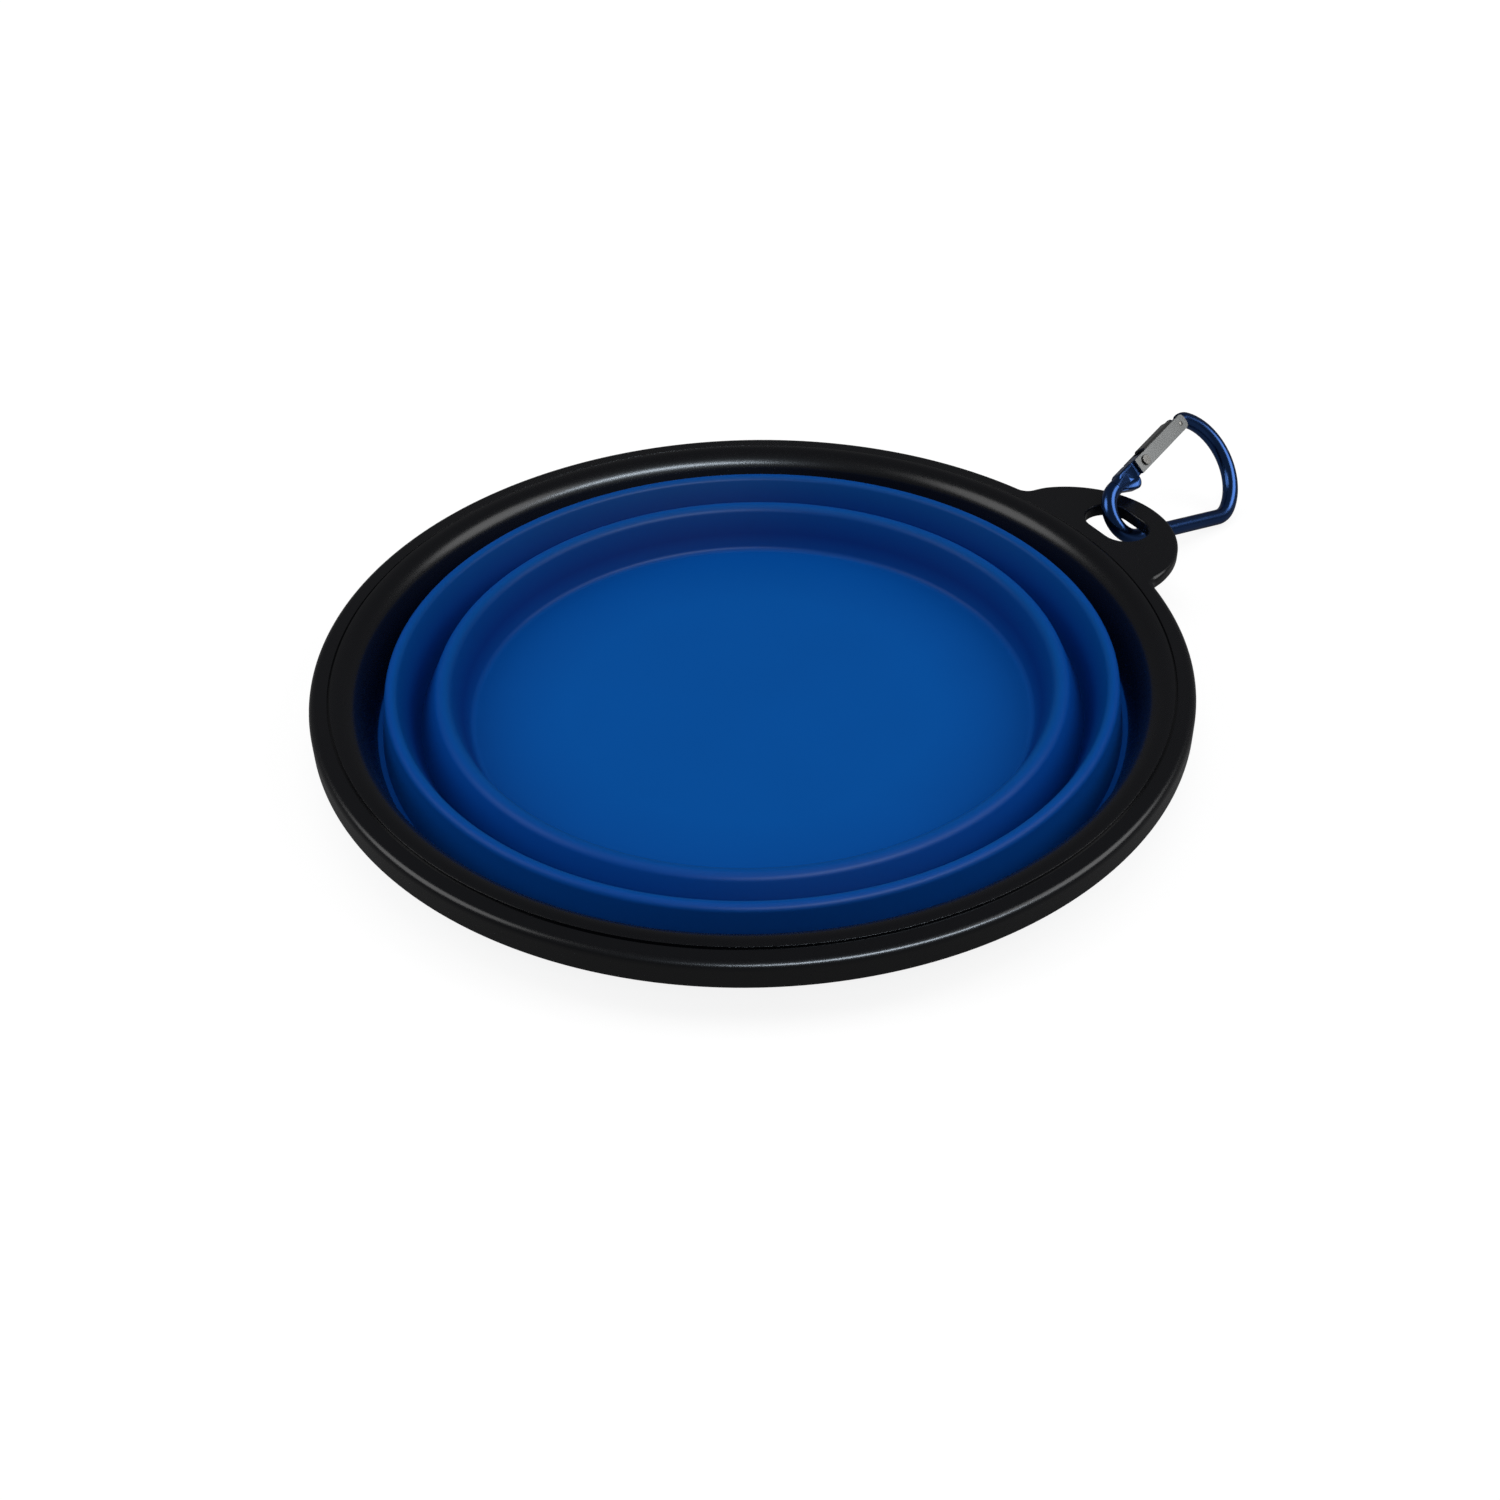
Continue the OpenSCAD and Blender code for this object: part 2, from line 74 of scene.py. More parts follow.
# Least cosine that a mitred corner divides by
MITRE_LIMIT = 0.5
# Radius of the ring that carries a section round, in millimetres
RING_R = 50.0
LOG = logging.getLogger("bowl")
Point = tuple[float, float]
Span = tuple[float, float]
Colour = tuple[float, float, float, float]
Piece = bpy.types.Object
Mesh = bpy.types.Mesh
Material = bpy.types.Material
Tree = bpy.types.NodeTree
Node = bpy.types.Node
Socket = bpy.types.NodeSocket
# Kinds of inputs of a node tree
NUMBER = "NodeSocketFloat"
COUNT = "NodeSocketInt"
FINISH = "NodeSocketMaterial"
# Numbers of the sockets of a mix of colours
MIX_A, MIX_B, MIX_RESULT = 6, 7, 2


class Body(Enum):
    """Bodies that move against each other."""

    BASE = "base"
    MIDDLE = "middle"
    RIM = "rim_ring"
    CLIP = "clip"
    GATE = "gate"


class Slot(Enum):
    """Material slots of the record."""

    SILICONE = "silicone"
    PLASTIC = "rim_plastic"
    ANODISED = "anodised_wire"
    SHEET = "gate_sheet"
    STEEL = "small_steel"


# Plane geometry, in millimetres


def polar(centre: Point, radius: float, angle: float) -> Point:
    """Returns the point of a circle at an angle from the first axis, in degrees."""
    a = radians(angle)
    return (centre[0] + radius * cos(a), centre[1] + radius * sin(a))


def along(a: Point, b: Point, share: float) -> Point:
    """Returns the point at a share, from 0 to 1, of the line from a to b."""
    return (a[0] + (b[0] - a[0]) * share, a[1] + (b[1] - a[1]) * share)


def touch_angles(a: Point, b: Point, ra: float, rb: float) -> tuple[float, float]:
    """Directions of the normals of the two lines that touch two circles.

    Args:
        a: Centre of the first circle.
        b: Centre of the second circle.
        ra: Radius of the first circle.
        rb: Radius of the second circle.

    Returns:
        The angles to the right and to the left of the way from a to b, in degrees.
    """
    way = atan2(b[1] - a[1], b[0] - a[0])
    lean = acos((ra - rb) / dist(a, b))
    return (degrees(way - lean), degrees(way + lean))


@dataclass
class Outline:
    """Chain of points in a plane, drawn with lines and arcs.

    Each line gets a point close to both its ends, so that smooth shading stays on the arcs.
    """

    points: list[Point] = field(default_factory=list)
    hold: float = 0.06

    def start(self, at: Point) -> "Outline":
        """Starts the chain at a point and returns it."""
        self.points = [at]
        return self

    def line(self, to: Point, parts: int = 1) -> "Outline":
        """Draws a line.

        Args:
            to: End of the line.
            parts: Number of even lengths that the line is cut into.

        Returns:
            The outline, for the next stroke.
        """
        a = self.points[-1]
        length = dist(a, to)
        if length < SAME_POINT:
            return self
        near = min(self.hold, length / 4) / length
        shares = [near] + [i / parts for i in range(1, parts)] + [1 - near, 1]
        self.points += [along(a, to, s) for s in shares]
        return self

    def arc(self, centre: Point, radius: float, first: float, last: float, step: float = 7.5) -> "Outline":
        """Draws an arc, with a line to its first point.

        Args:
            centre: Centre of the arc.
            radius: Radius of the arc.
            first: Angle at which it starts, in degrees.
            last: Angle at which it ends, in degrees.
            step: Largest angle between two points, in degrees.

        Returns:
            The outline, for the next stroke.
        """
        self.line(polar(centre, radius, first))
        count = max(1, ceil(abs(last - first) / step))
        self.points += [
            polar(centre, radius, first + (last - first) * i / count) for i in range(1, count + 1)
        ]
        return self

    def close(self) -> list[Point]:
        """Draws the line back to the start and returns the points, the start once."""
        self.line(self.points[0])
        if dist(self.points[0], self.points[-1]) < SAME_POINT:
            self.points.pop()
        return self.points


def box(a: Point, b: Point) -> list[Point]:
    """Returns the corners of a rectangle, counter-clockwise, from its first and its opposite corner."""
    return [a, (b[0], a[1]), b, (a[0], b[1])]


def rounded(corners: list[Point], radius: float, step: float = 12.0) -> list[Point]:
    """Rounds the corners of a closed outline.

    Args:
        corners: Corners of the outline, in order.
        radius: Radius of each corner, less where its sides are short.
        step: Largest angle between two points of a corner, in degrees.

    Returns:
        The points of the rounded outline.
    """
    points: list[Point] = []
    for i, corner in enumerate(corners):
        at = Vector(corner)
        back, on = Vector(corners[i - 1]) - at, Vector(corners[(i + 1) % len(corners)]) - at
        half = back.angle(on) / 2
        run = min(radius / tan(half), CORNER_SHARE * back.length, CORNER_SHARE * on.length)
        r = run * tan(half)
        a, b = at + back.normalized() * run, at + on.normalized() * run
        centre = at + (back.normalized() + on.normalized()).normalized() * (r / sin(half))
        first = atan2(a.y - centre.y, a.x - centre.x)
        turn = remainder(atan2(b.y - centre.y, b.x - centre.x) - first, 2 * pi)
        count = max(1, ceil(abs(degrees(turn)) / step))
        points += [
            polar(centre.to_tuple(), r, degrees(first + turn * k / count)) for k in range(count + 1)
        ]
    return points


# Meshes


def link(name: str, mesh: Mesh) -> Piece:
    """Puts a mesh in the scene as an object at the origin.

    Args:
        name: Name of the object.
        mesh: Its mesh.

    Returns:
        The object.
    """
    piece = bpy.data.objects.new(name, mesh)
    bpy.context.scene.collection.objects.link(piece)
    return piece


def chain_mesh(points: list[Vector], closed: bool) -> Mesh:
    """Mesh of one chain of edges, which a node tree reads as its path or section.

    Args:
        points: Points of the chain, in metres.
        closed: Whether the last point joins the first.

    Returns:
        The mesh.
    """
    mesh = bpy.data.meshes.new("chain")
    count = len(points)
    edges = [(i, (i + 1) % count) for i in range(count if closed else count - 1)]
    mesh.from_pydata(points, edges, [])
    return mesh


def tidy_mesh(mesh: Mesh) -> None:
    """Merges doubles, turns faces outwards and smooths them.

    Args:
        mesh: The mesh to tidy.
    """
    work = bmesh.new()
    work.from_mesh(mesh)
    bmesh.ops.remove_doubles(work, verts=work.verts, dist=MERGE_REACH)
    bmesh.ops.recalc_face_normals(work, faces=work.faces)
    for face in work.faces:
        face.smooth = True
    work.to_mesh(mesh)
    work.free()


def new_mesh(name: str, work: bmesh.types.BMesh) -> Mesh:
    """Writes the mesh being worked on to a new mesh, and frees it.

    Args:
        name: Name of the new mesh.
        work: The mesh being worked on.

    Returns:
        The new mesh.
    """
    mesh = bpy.data.meshes.new(name)
    work.to_mesh(mesh)
    work.free()
    return mesh


def join(name: str, pieces: list[Piece]) -> Piece:
    """Joins objects at the origin into one.

    Args:
        name: Name of the joined object.
        pieces: Objects to join; they share one finish.

    Returns:
        The joined object.
    """
    work = bmesh.new()
    for piece in pieces:
        work.from_mesh(piece.data)
    mesh = new_mesh(name, work)
    for material in pieces[0].data.materials:
        mesh.materials.append(material)
    for piece in pieces:
        bpy.data.objects.remove(piece)
    return link(name, mesh)


def add(
    tree: Tree,
    kind: str,
    settings: dict[str, object] | None = None,
    links: dict[str | int, Socket | float | tuple] | None = None,
) -> Node:
    """Adds a node with its settings and its links.

    Args:
        tree: Tree that gets the node.
        kind: Type name of the node.
        settings: Values of the node's own properties.
        links: Values or linked sockets of its inputs, by name or number.

    Returns:
        The node.
    """
    node = tree.nodes.new(kind)
    for name, value in (settings or {}).items():
        setattr(node, name, value)
    for key, value in (links or {}).items():
        if isinstance(value, Socket):
            tree.links.new(value, node.inputs[key])
        else:
            node.inputs[key].default_value = value
    return node


def run_tree(name: str, mesh: Mesh, tree: Tree, values: dict[str, object]) -> Piece:
    """Runs a geometry tree on a mesh and keeps the result as a plain piece.

    Args:
        name: Name of the piece.
        mesh: Mesh that the tree reads.
        tree: The tree.
        values: Values of the tree's named inputs.

    Returns:
        The finished piece.
    """
    carrier = link(name + "_path", mesh)
    modifier = carrier.modifiers.new("tree", "NODES")
    modifier.node_group = tree
    for item in tree.interface.items_tree:
        if item.item_type == "SOCKET" and item.in_out == "INPUT" and item.name in values:
            modifier[item.identifier] = values[item.name]
    graph = bpy.context.evaluated_depsgraph_get()
    result = bpy.data.meshes.new_from_object(carrier.evaluated_get(graph))
    carrier.modifiers.remove(modifier)
    bpy.data.objects.remove(carrier)
    tidy_mesh(result)
    return link(name, result)


def new_tree(name: str, inputs: dict[str, str]) -> tuple[Tree, Node]:
    """Starts a geometry tree.

    Args:
        name: Name of the tree.
        inputs: Names of its inputs and their socket types.

    Returns:
        The tree and its input node.
    """
    tree = bpy.data.node_groups.new(name, "GeometryNodeTree")
    tree.interface.new_socket("Geometry", in_out="INPUT", socket_type="NodeSocketGeometry")
    for key, kind in inputs.items():
        tree.interface.new_socket(key, in_out="INPUT", socket_type=kind)
    tree.interface.new_socket("Geometry", in_out="OUTPUT", socket_type="NodeSocketGeometry")
    return tree, tree.nodes.new("NodeGroupInput")


def end_tree(tree: Tree, shape: Socket, finish: Socket) -> None:
    """Ends a geometry tree with Realize Instances and Set Material.

    Args:
        tree: The tree.
        shape: Socket of the finished geometry.
        finish: Socket of the material.
    """
    real = add(tree, "GeometryNodeRealizeInstances", links={"Geometry": shape})
    dressed = add(
        tree, "GeometryNodeSetMaterial", links={"Geometry": real.outputs[0], "Material": finish}
    )
    add(tree, "NodeGroupOutput", links={"Geometry": dressed.outputs[0]})


def sweep(tree: Tree, path: Socket, section: Socket, capped: bool) -> Socket:
    """Adds the skin that a section draws along a path, closed at the ends where capped."""
    links = {"Curve": path, "Profile Curve": section, "Fill Caps": capped}
    return add(tree, "GeometryNodeCurveToMesh", links=links).outputs["Mesh"]


def circle(tree: Tree, radius: Socket, steps: Socket | int) -> Socket:
    """Adds a circle with a radius and a number of steps."""
    links = {"Resolution": steps, "Radius": radius}
    return add(tree, "GeometryNodeCurvePrimitiveCircle", {"mode": "RADIUS"}, links).outputs["Curve"]


def revolve_tree() -> Tree:
    """Tree that carries a section round the bowl's axis.

    Returns:
        The tree, with the inputs Radius, Segments and Material.
    """
    tree, given = new_tree("revolved_section", {"Radius": NUMBER, "Segments": COUNT, "Material": FINISH})
    section = add(tree, "GeometryNodeMeshToCurve", links={"Mesh": given.outputs["Geometry"]})
    ring = circle(tree, given.outputs["Radius"], given.outputs["Segments"])
    skin = sweep(tree, ring, section.outputs["Curve"], False)
    whole = add(tree, "GeometryNodeMergeByDistance", links={"Geometry": skin, "Distance": WELD_REACH})
    end_tree(tree, whole.outputs["Geometry"], given.outputs["Material"])
    return tree


def round_wire(tree: Tree, given: Node, path: Socket, sides: Socket | int) -> None:
    """Ends a tree with a round wire along a path.

    Args:
        tree: The tree.
        given: Its input node, with the inputs Wire radius and Material.
        path: The path.
        sides: Number of the wire's sides.
    """
    skin = sweep(tree, path, circle(tree, given.outputs["Wire radius"], sides), True)
    end_tree(tree, skin, given.outputs["Material"])


def wire_tree() -> Tree:
    """Tree that draws a round wire along a path.

    Returns:
        The tree, with the inputs Wire radius, Sides and Material.
    """
    tree, given = new_tree("bent_wire", {"Wire radius": NUMBER, "Sides": COUNT, "Material": FINISH})
    path = add(tree, "GeometryNodeMeshToCurve", links={"Mesh": given.outputs["Geometry"]})
    round_wire(tree, given, path.outputs["Curve"], given.outputs["Sides"])
    return tree


def coil_tree(steps: int = 24, sides: int = 10) -> Tree:
    """Tree that winds a coil spring from a wire.

    Args:
        steps: Number of steps in one turn.
        sides: Number of the wire's sides.

    Returns:
        The tree, with the inputs Mean radius, Length, Turns, Wire radius and Material.
    """
    inputs = dict.fromkeys(("Mean radius", "Length", "Turns", "Wire radius"), NUMBER)
    tree, given = new_tree("wound_coil", inputs | {"Material": FINISH})
    spiral = add(
        tree,
        "GeometryNodeCurveSpiral",
        links={
            "Resolution": steps,
            "Rotations": given.outputs["Turns"],
            "Start Radius": given.outputs["Mean radius"],
            "End Radius": given.outputs["Mean radius"],
            "Height": given.outputs["Length"],
        },
    )
    round_wire(tree, given, spiral.outputs["Curve"], sides)
    return tree


def revolved(
    name: str, points: list[Point], closed: bool, material: Material, segments: int = 288
) -> Piece:
    """Makes a piece by carrying a section round the bowl's axis.

    Args:
        name: Name of the piece.
        points: Points of the section, as radius and height in millimetres.
        closed: Whether the section is a closed loop; an open one starts and ends on the axis.
        material: Finish of the piece.
        segments: Number of steps round the axis.

    Returns:
        The piece.
    """
    chain = chain_mesh([Vector((r - RING_R, -z, 0)) * MM for r, z in points], closed)
    values = {"Radius": RING_R * MM, "Segments": segments, "Material": material}
    piece = run_tree(name, chain, revolve_tree(), values)
    piece.data.set_sharp_from_angle(angle=SHARP_TURN)
    return piece


@dataclass
class PlateEdge:
    """Closed outline of a plate, with the way each point moves inwards and its edges' radii."""

    points: list[Point]
    inward: list[Point]
    top: list[float]
    low: list[float]

    @classmethod
    def even(cls, points: list[Point], radius: float) -> "PlateEdge":
        """Outline with one edge radius.

        Args:
            points: The points, counter-clockwise; clockwise for a hole.
            radius: Radius of the upper and the lower edge.

        Returns:
            The outline, each point moving square to its neighbours.
        """
        inward: list[Point] = []
        for i, at in enumerate(points):
            a = Vector(at) - Vector(points[i - 1])
            b = Vector(points[(i + 1) % len(points)]) - Vector(at)
            na, nb = Vector((-a.y, a.x)).normalized(), Vector((-b.y, b.x)).normalized()
            normal = (na + nb).normalized()
            inward.append(tuple(normal / max(MITRE_LIMIT, normal.dot(nb))))
        return cls(points, inward, [radius] * len(points), [radius] * len(points))

    def rows(self, low: float, high: float) -> list[list[Vector]]:
        """Loops of points from the plate's underside, round its edge, to its top.

        Args:
            low: Height of the underside.
            high: Height of the top.

        Returns:
            The loops, in millimetres.
        """
        steps, hold = 5, 0.05
        turns = [radians(90 * k / steps) for k in range(steps + 1)]
        quarter = [(1 - sin(a), 1 - cos(a)) for a in turns]
        shifts = [[(e + hold, low) for e in self.low]]
        shifts += [[(e * fall, low + e * rise) for e in self.low] for fall, rise in quarter]
        shifts += [[(0.0, low + e + hold) for e in self.low], [(0.0, high - e - hold) for e in self.top]]
        shifts += [[(e * rise, high - e * fall) for e in self.top] for fall, rise in quarter]
        shifts += [[(e + hold, high) for e in self.top]]
        return [
            [
                Vector((x + way[0] * depth, y + way[1] * depth, z))
                for (x, y), way, (depth, z) in zip(self.points, self.inward, shift)
            ]
            for shift in shifts
        ]


def plate(name: str, outlines: list[PlateEdge], span: Span, material: Material, pose: Matrix) -> Piece:
    """Makes a closed plate with rounded edges.

    Args:
        name: Name of the piece.
        outlines: Outline of the plate, and of its hole if it has one, in millimetres.
        span: Height of the plate's underside and of its top.
        material: Finish of the plate.
        pose: Place of the outline's plane in the object.

    Returns:
        The piece.
    """
    work = bmesh.new()
    ends: list[tuple[list[bmesh.types.BMVert], list[bmesh.types.BMVert]]] = []
    for outline in outlines:
        loops = [[work.verts.new(at * MM) for at in row] for row in outline.rows(*span)]
        for below, above in zip(loops, loops[1:]):
            for i in range(len(below)):
                j = (i + 1) % len(below)
                work.faces.new((below[i], below[j], above[j], above[i]))
        ends.append((loops[0], loops[-1]))
    for side in (0, 1):
        rings = [pair[side] for pair in ends]
        verts = [v for ring in rings for v in ring]
        for tri in geometry.tessellate_polygon([[v.co for v in ring] for ring in rings]):
            if len(set(tri)) == 3:
                work.faces.new([verts[i] for i in tri])
    mesh = new_mesh(name, work)
    mesh.transform(pose)
    mesh.materials.append(material)
    tidy_mesh(mesh)
    return link(name, mesh)


def eased_copy(name: str, node: Piece, edge: float, material: Material) -> Piece:
    """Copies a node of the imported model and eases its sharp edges.

    Args:
        name: Name of the piece.
        node: The node to copy.
        edge: Width of the eased edges, in millimetres.
        material: Finish of the piece.

    Returns:
        The piece.
    """
    work = bmesh.new()
    work.from_mesh(node.data)
    bmesh.ops.remove_doubles(work, verts=work.verts, dist=MERGE_REACH)
    bmesh.ops.dissolve_limit(
        work, angle_limit=FLAT_TURN, verts=work.verts, edges=work.edges, delimit=set()
    )
    sharp = [e for e in work.edges if e.is_manifold and e.calc_face_angle() > EASED_TURN]
    bmesh.ops.bevel(
        work,
        geom=sharp,
        offset=edge * MM,
        segments=2,
        profile=0.6,
        affect="EDGES",
        clamp_overlap=True,
        harden_normals=False,
    )
    for face in work.faces:
        face.smooth = True
    mesh = new_mesh(name, work)
    mesh.set_sharp_from_angle(angle=SHARP_TURN)
    mesh.materials.append(material)
    piece = link(name, mesh)
    weights = piece.modifiers.new("flat_faces_stay_flat", "WEIGHTED_NORMAL")
    weights.keep_sharp = True
    bpy.context.view_layer.update()
    seen = piece.evaluated_get(bpy.context.evaluated_depsgraph_get())
    piece.data = bpy.data.meshes.new_from_object(seen)
    piece.modifiers.remove(weights)
    return piece


# Finishes


def linear(code: str) -> Colour:
    """Turns an sRGB hex colour to a linear one.

    Args:
        code: The colour, as six hex digits.

    Returns:
        Its linear red, green, blue and alpha.
    """
    parts = [int(code[i : i + 2], 16) / 255 for i in (0, 2, 4)]
    red, green, blue = (p / 12.92 if p <= 0.04045 else ((p + 0.055) / 1.055) ** 2.4 for p in parts)
    return (red, green, blue, 1.0)


def emptied(owner: Material | bpy.types.World) -> Tree:
    """Gives a material or a world an empty node tree.

    Args:
        owner: The material or the world.

    Returns:
        Its tree.
    """
    owner.use_nodes = True
    owner.node_tree.nodes.clear()
    return owner.node_tree


def noise(tree: Tree, place: Socket, size_mm: float, detail: float) -> Socket:
    """Adds a noise.

    Args:
        tree: Tree that gets it.
        place: Coordinates that it reads.
        size_mm: Size of its patches.
        detail: How many finer layers it has.

    Returns:
        Its value.
    """
    links = {"Vector": place, "Scale": 1 / (size_mm * MM), "Detail": detail}
    return add(tree, "ShaderNodeTexNoise", links=links).outputs["Fac"]


def remap(
    tree: Tree, value: Socket, given: Span, wanted: Span, interpolation: str = "LINEAR"
) -> Socket:
    """Maps a value from one span to another.

    Args:
        tree: Tree that gets the step.
        value: The value.
        given: The span that it is in.
        wanted: The span that it goes to.
        interpolation: How it goes from one end to the other.

    Returns:
        The new value.
    """
    links = {"Value": value, "From Min": given[0], "From Max": given[1]}
    links |= {"To Min": wanted[0], "To Max": wanted[1]}
    return add(tree, "ShaderNodeMapRange", {"interpolation_type": interpolation}, links).outputs[0]


def mix(tree: Tree, share: Socket | float, a: Socket | Colour, b: Socket | Colour, blend: str) -> Socket:
    """Mixes two colours.

    Args:
        tree: Tree that gets the step.
        share: How much of the second colour is mixed in.
        a: The first colour.
        b: The second colour.
        blend: How they are mixed.

    Returns:
        The mixed colour.
    """
    links = {"Factor": share, MIX_A: a, MIX_B: b}
    node = add(tree, "ShaderNodeMix", {"data_type": "RGBA", "blend_type": blend}, links)
    return node.outputs[MIX_RESULT]


def length_of(tree: Tree, place: Socket) -> Socket:
    """Adds the distance of a place from the origin."""
    return add(tree, "ShaderNodeVectorMath", {"operation": "LENGTH"}, {0: place}).outputs["Value"]


@dataclass(frozen=True)
class Finish:
    """What every finish has: a colour in two close tones, a grain and a gloss."""

    name: str
    light: str
    dark: str
    roughness: float
    metallic: float = 0.0
    ior: float = 1.5
    grain_mm: float = 0.5
    grain_depth_mm: float = 0.01
    grain_detail: float = 3.0
    cloud_mm: float = 25.0
    cloud_detail: float = 2.0
    roughness_spread: float = 0.04

    def material(self) -> Material:
        """Makes the finish.

        Returns:
            The material.
        """
        material = bpy.data.materials.new(self.name)
        tree = emptied(material)
        place = add(tree, "ShaderNodeTexCoord")
        grain = noise(tree, place.outputs["Object"], self.grain_mm, self.grain_detail)
        cloud = noise(tree, place.outputs["Object"], self.cloud_mm, self.cloud_detail)
        tone = mix(tree, cloud, linear(self.dark), linear(self.light), "MIX")
        span = (self.roughness - self.roughness_spread, self.roughness + self.roughness_spread)
        gloss = remap(tree, grain, (0.0, 1.0), span)
        relief = add(
            tree,
            "ShaderNodeBump",
            links={"Height": grain, "Distance": self.grain_depth_mm * MM, "Strength": 1.0},
        )
        shader = add(
            tree,
            "ShaderNodeBsdfPrincipled",
            links={
                "Base Color": self.shade(tree, place, tone),
                "Roughness": gloss,
                "Normal": relief.outputs[0],
                "Metallic": self.metallic,
            },
        )
        if not self.metallic:
            shader.inputs["IOR"].default_value = self.ior
        self.trim(shader)
        add(tree, "ShaderNodeOutputMaterial", links={"Surface": shader.outputs[0]})
        return material

    def shade(self, tree: Tree, place: Node, tone: Socket) -> Socket:
        """Changes the colour so far over the object; the plain finish keeps it."""
        return tone

    def trim(self, shader: Node) -> None:
        """Sets what one finish has and the others don't; the plain finish has nothing more."""


@dataclass(frozen=True)
class MouldedSilicone(Finish):
    """Silicone rubber from a satin mould: soft low highlights, and a deep blue.

    Its tints are painted light and shade: painted shade deepens the stiff tiers most at their feet,
    and the valleys and the floor's edge too, and painted light keeps the crests and the thin webs
    lighter. The tints multiply the colour, and follow the distance from the bowl's axis.
    """

    name: str = "silicone_rubber_satin_moulded"
    light: str = "0057AD"
    dark: str = "0053A6"
    roughness: float = 0.42
    ior: float = 1.41
    grain_mm: float = 0.45
    grain_depth_mm: float = 0.006
    shine: float = 0.16
    fold_radii_mm: tuple[float, ...] = ()
    fold_width_mm: float = 1.5
    open_share: float = 0.65
    # Tints multiplied into the colour by distance from the axis: painted shade at the floor's edge, the
    # tiers' feet and the valleys, and less of it, as painted light, on the crests and the webs
    open_floor: str = "FFFFFF"
    floor_edge: str = "FFE8F0"
    tier_foot_painted_shade: str = "FF9CBE"
    crest: str = "FFE4E4"
    web_painted_light: str = "FFE0F4"
    valley: str = "FFAECA"

    def shade(self, tree: Tree, place: Node, tone: Socket) -> Socket:
        """Paints shade into the colour, most at the tiers' feet and the valleys, least on crests and webs.

        Args:
            tree: Tree of the material.
            place: Node with the object's coordinates.
            tone: Colour so far.

        Returns:
            The colour to use.
        """
        flat = add(
            tree,
            "ShaderNodeVectorMath",
            {"operation": "MULTIPLY"},
            {0: place.outputs["Object"], 1: (1.0, 1.0, 0.0)},
        )
        edge, low_crest, low_valley, high_crest, high_valley = self.fold_radii_mm
        width = self.fold_width_mm
        # Painted light and shade as stops of radius and tint: shade at the feet and valleys, light at the
        # crests and webs
        stops = (
            (self.open_share * edge, self.open_floor),
            (edge - width, self.floor_edge),
            (edge + width / 2, self.tier_foot_painted_shade),
            (low_crest - width / 2, self.crest),
            (low_crest + width, self.web_painted_light),
            (low_valley - width / 2, self.valley),
            (low_valley + width / 2, self.tier_foot_painted_shade),
            (high_crest - width / 2, self.crest),
            (high_crest + width / 2, self.web_painted_light),
            (high_valley, self.web_painted_light),
        )
        share = remap(tree, length_of(tree, flat.outputs[0]), (0.0, high_valley * MM), (0.0, 1.0))
        ramp = add(tree, "ShaderNodeValToRGB", links={"Fac": share})
        elements = ramp.color_ramp.elements
        elements[0].color, elements[-1].color = linear(stops[0][1]), linear(stops[-1][1])
        for radius, tint in stops[:-1]:
            elements.new(radius / high_valley).color = linear(tint)
        return mix(tree, 1.0, tone, ramp.outputs[0], "MULTIPLY")

    def trim(self, shader: Node) -> None:
        """Keeps the rubber's shine low."""
        shader.inputs["Specular IOR Level"].default_value = self.shine


@dataclass(frozen=True)
class MouldedPlastic(Finish):
    """Polypropylene from a spark-eroded mould: near black, with a fine grain that dulls its shine."""

    name: str = "polypropylene_spark_grained"
    light: str = "08090E"
    dark: str = "07080C"
    roughness: float = 0.27
    ior: float = 1.49
    grain_mm: float = 0.3
    grain_depth_mm: float = 0.0008


@dataclass(frozen=True)
class AnodisedAluminium(Finish):
    """Aluminium wire, polished, anodised and dyed: a deep blue whose highlights keep the dye's colour."""

    name: str = "aluminium_dyed_anodised"
    light: str = "3A5C98"
    dark: str = "304F88"
    roughness: float = 0.22
    metallic: float = 1.0
    grain_mm: float = 0.25
    grain_depth_mm: float = 0.0006
    cloud_mm: float = 12.0


@dataclass(frozen=True)
class SheetAluminium(Finish):
    """Bare rolled aluminium sheet: pale grey, with a fine grain that spreads its highlights."""

    name: str = "aluminium_sheet_rolled"
    light: str = "9A9C9C"
    dark: str = "8A8C8C"
    roughness: float = 0.34
    metallic: float = 1.0
    grain_mm: float = 0.2
    grain_depth_mm: float = 0.0006
    cloud_mm: float = 6.0


@dataclass(frozen=True)
class DrawnSteel(Finish):
    """Drawn steel pin and spring wire: a darker grey than the sheet, with small clear highlights."""

    name: str = "steel_drawn"
    light: str = "A09F9B"
    dark: str = "8C8B88"
    roughness: float = 0.28
    metallic: float = 1.0
    grain_mm: float = 0.15
    grain_depth_mm: float = 0.001
    cloud_mm: float = 5.0


# The object


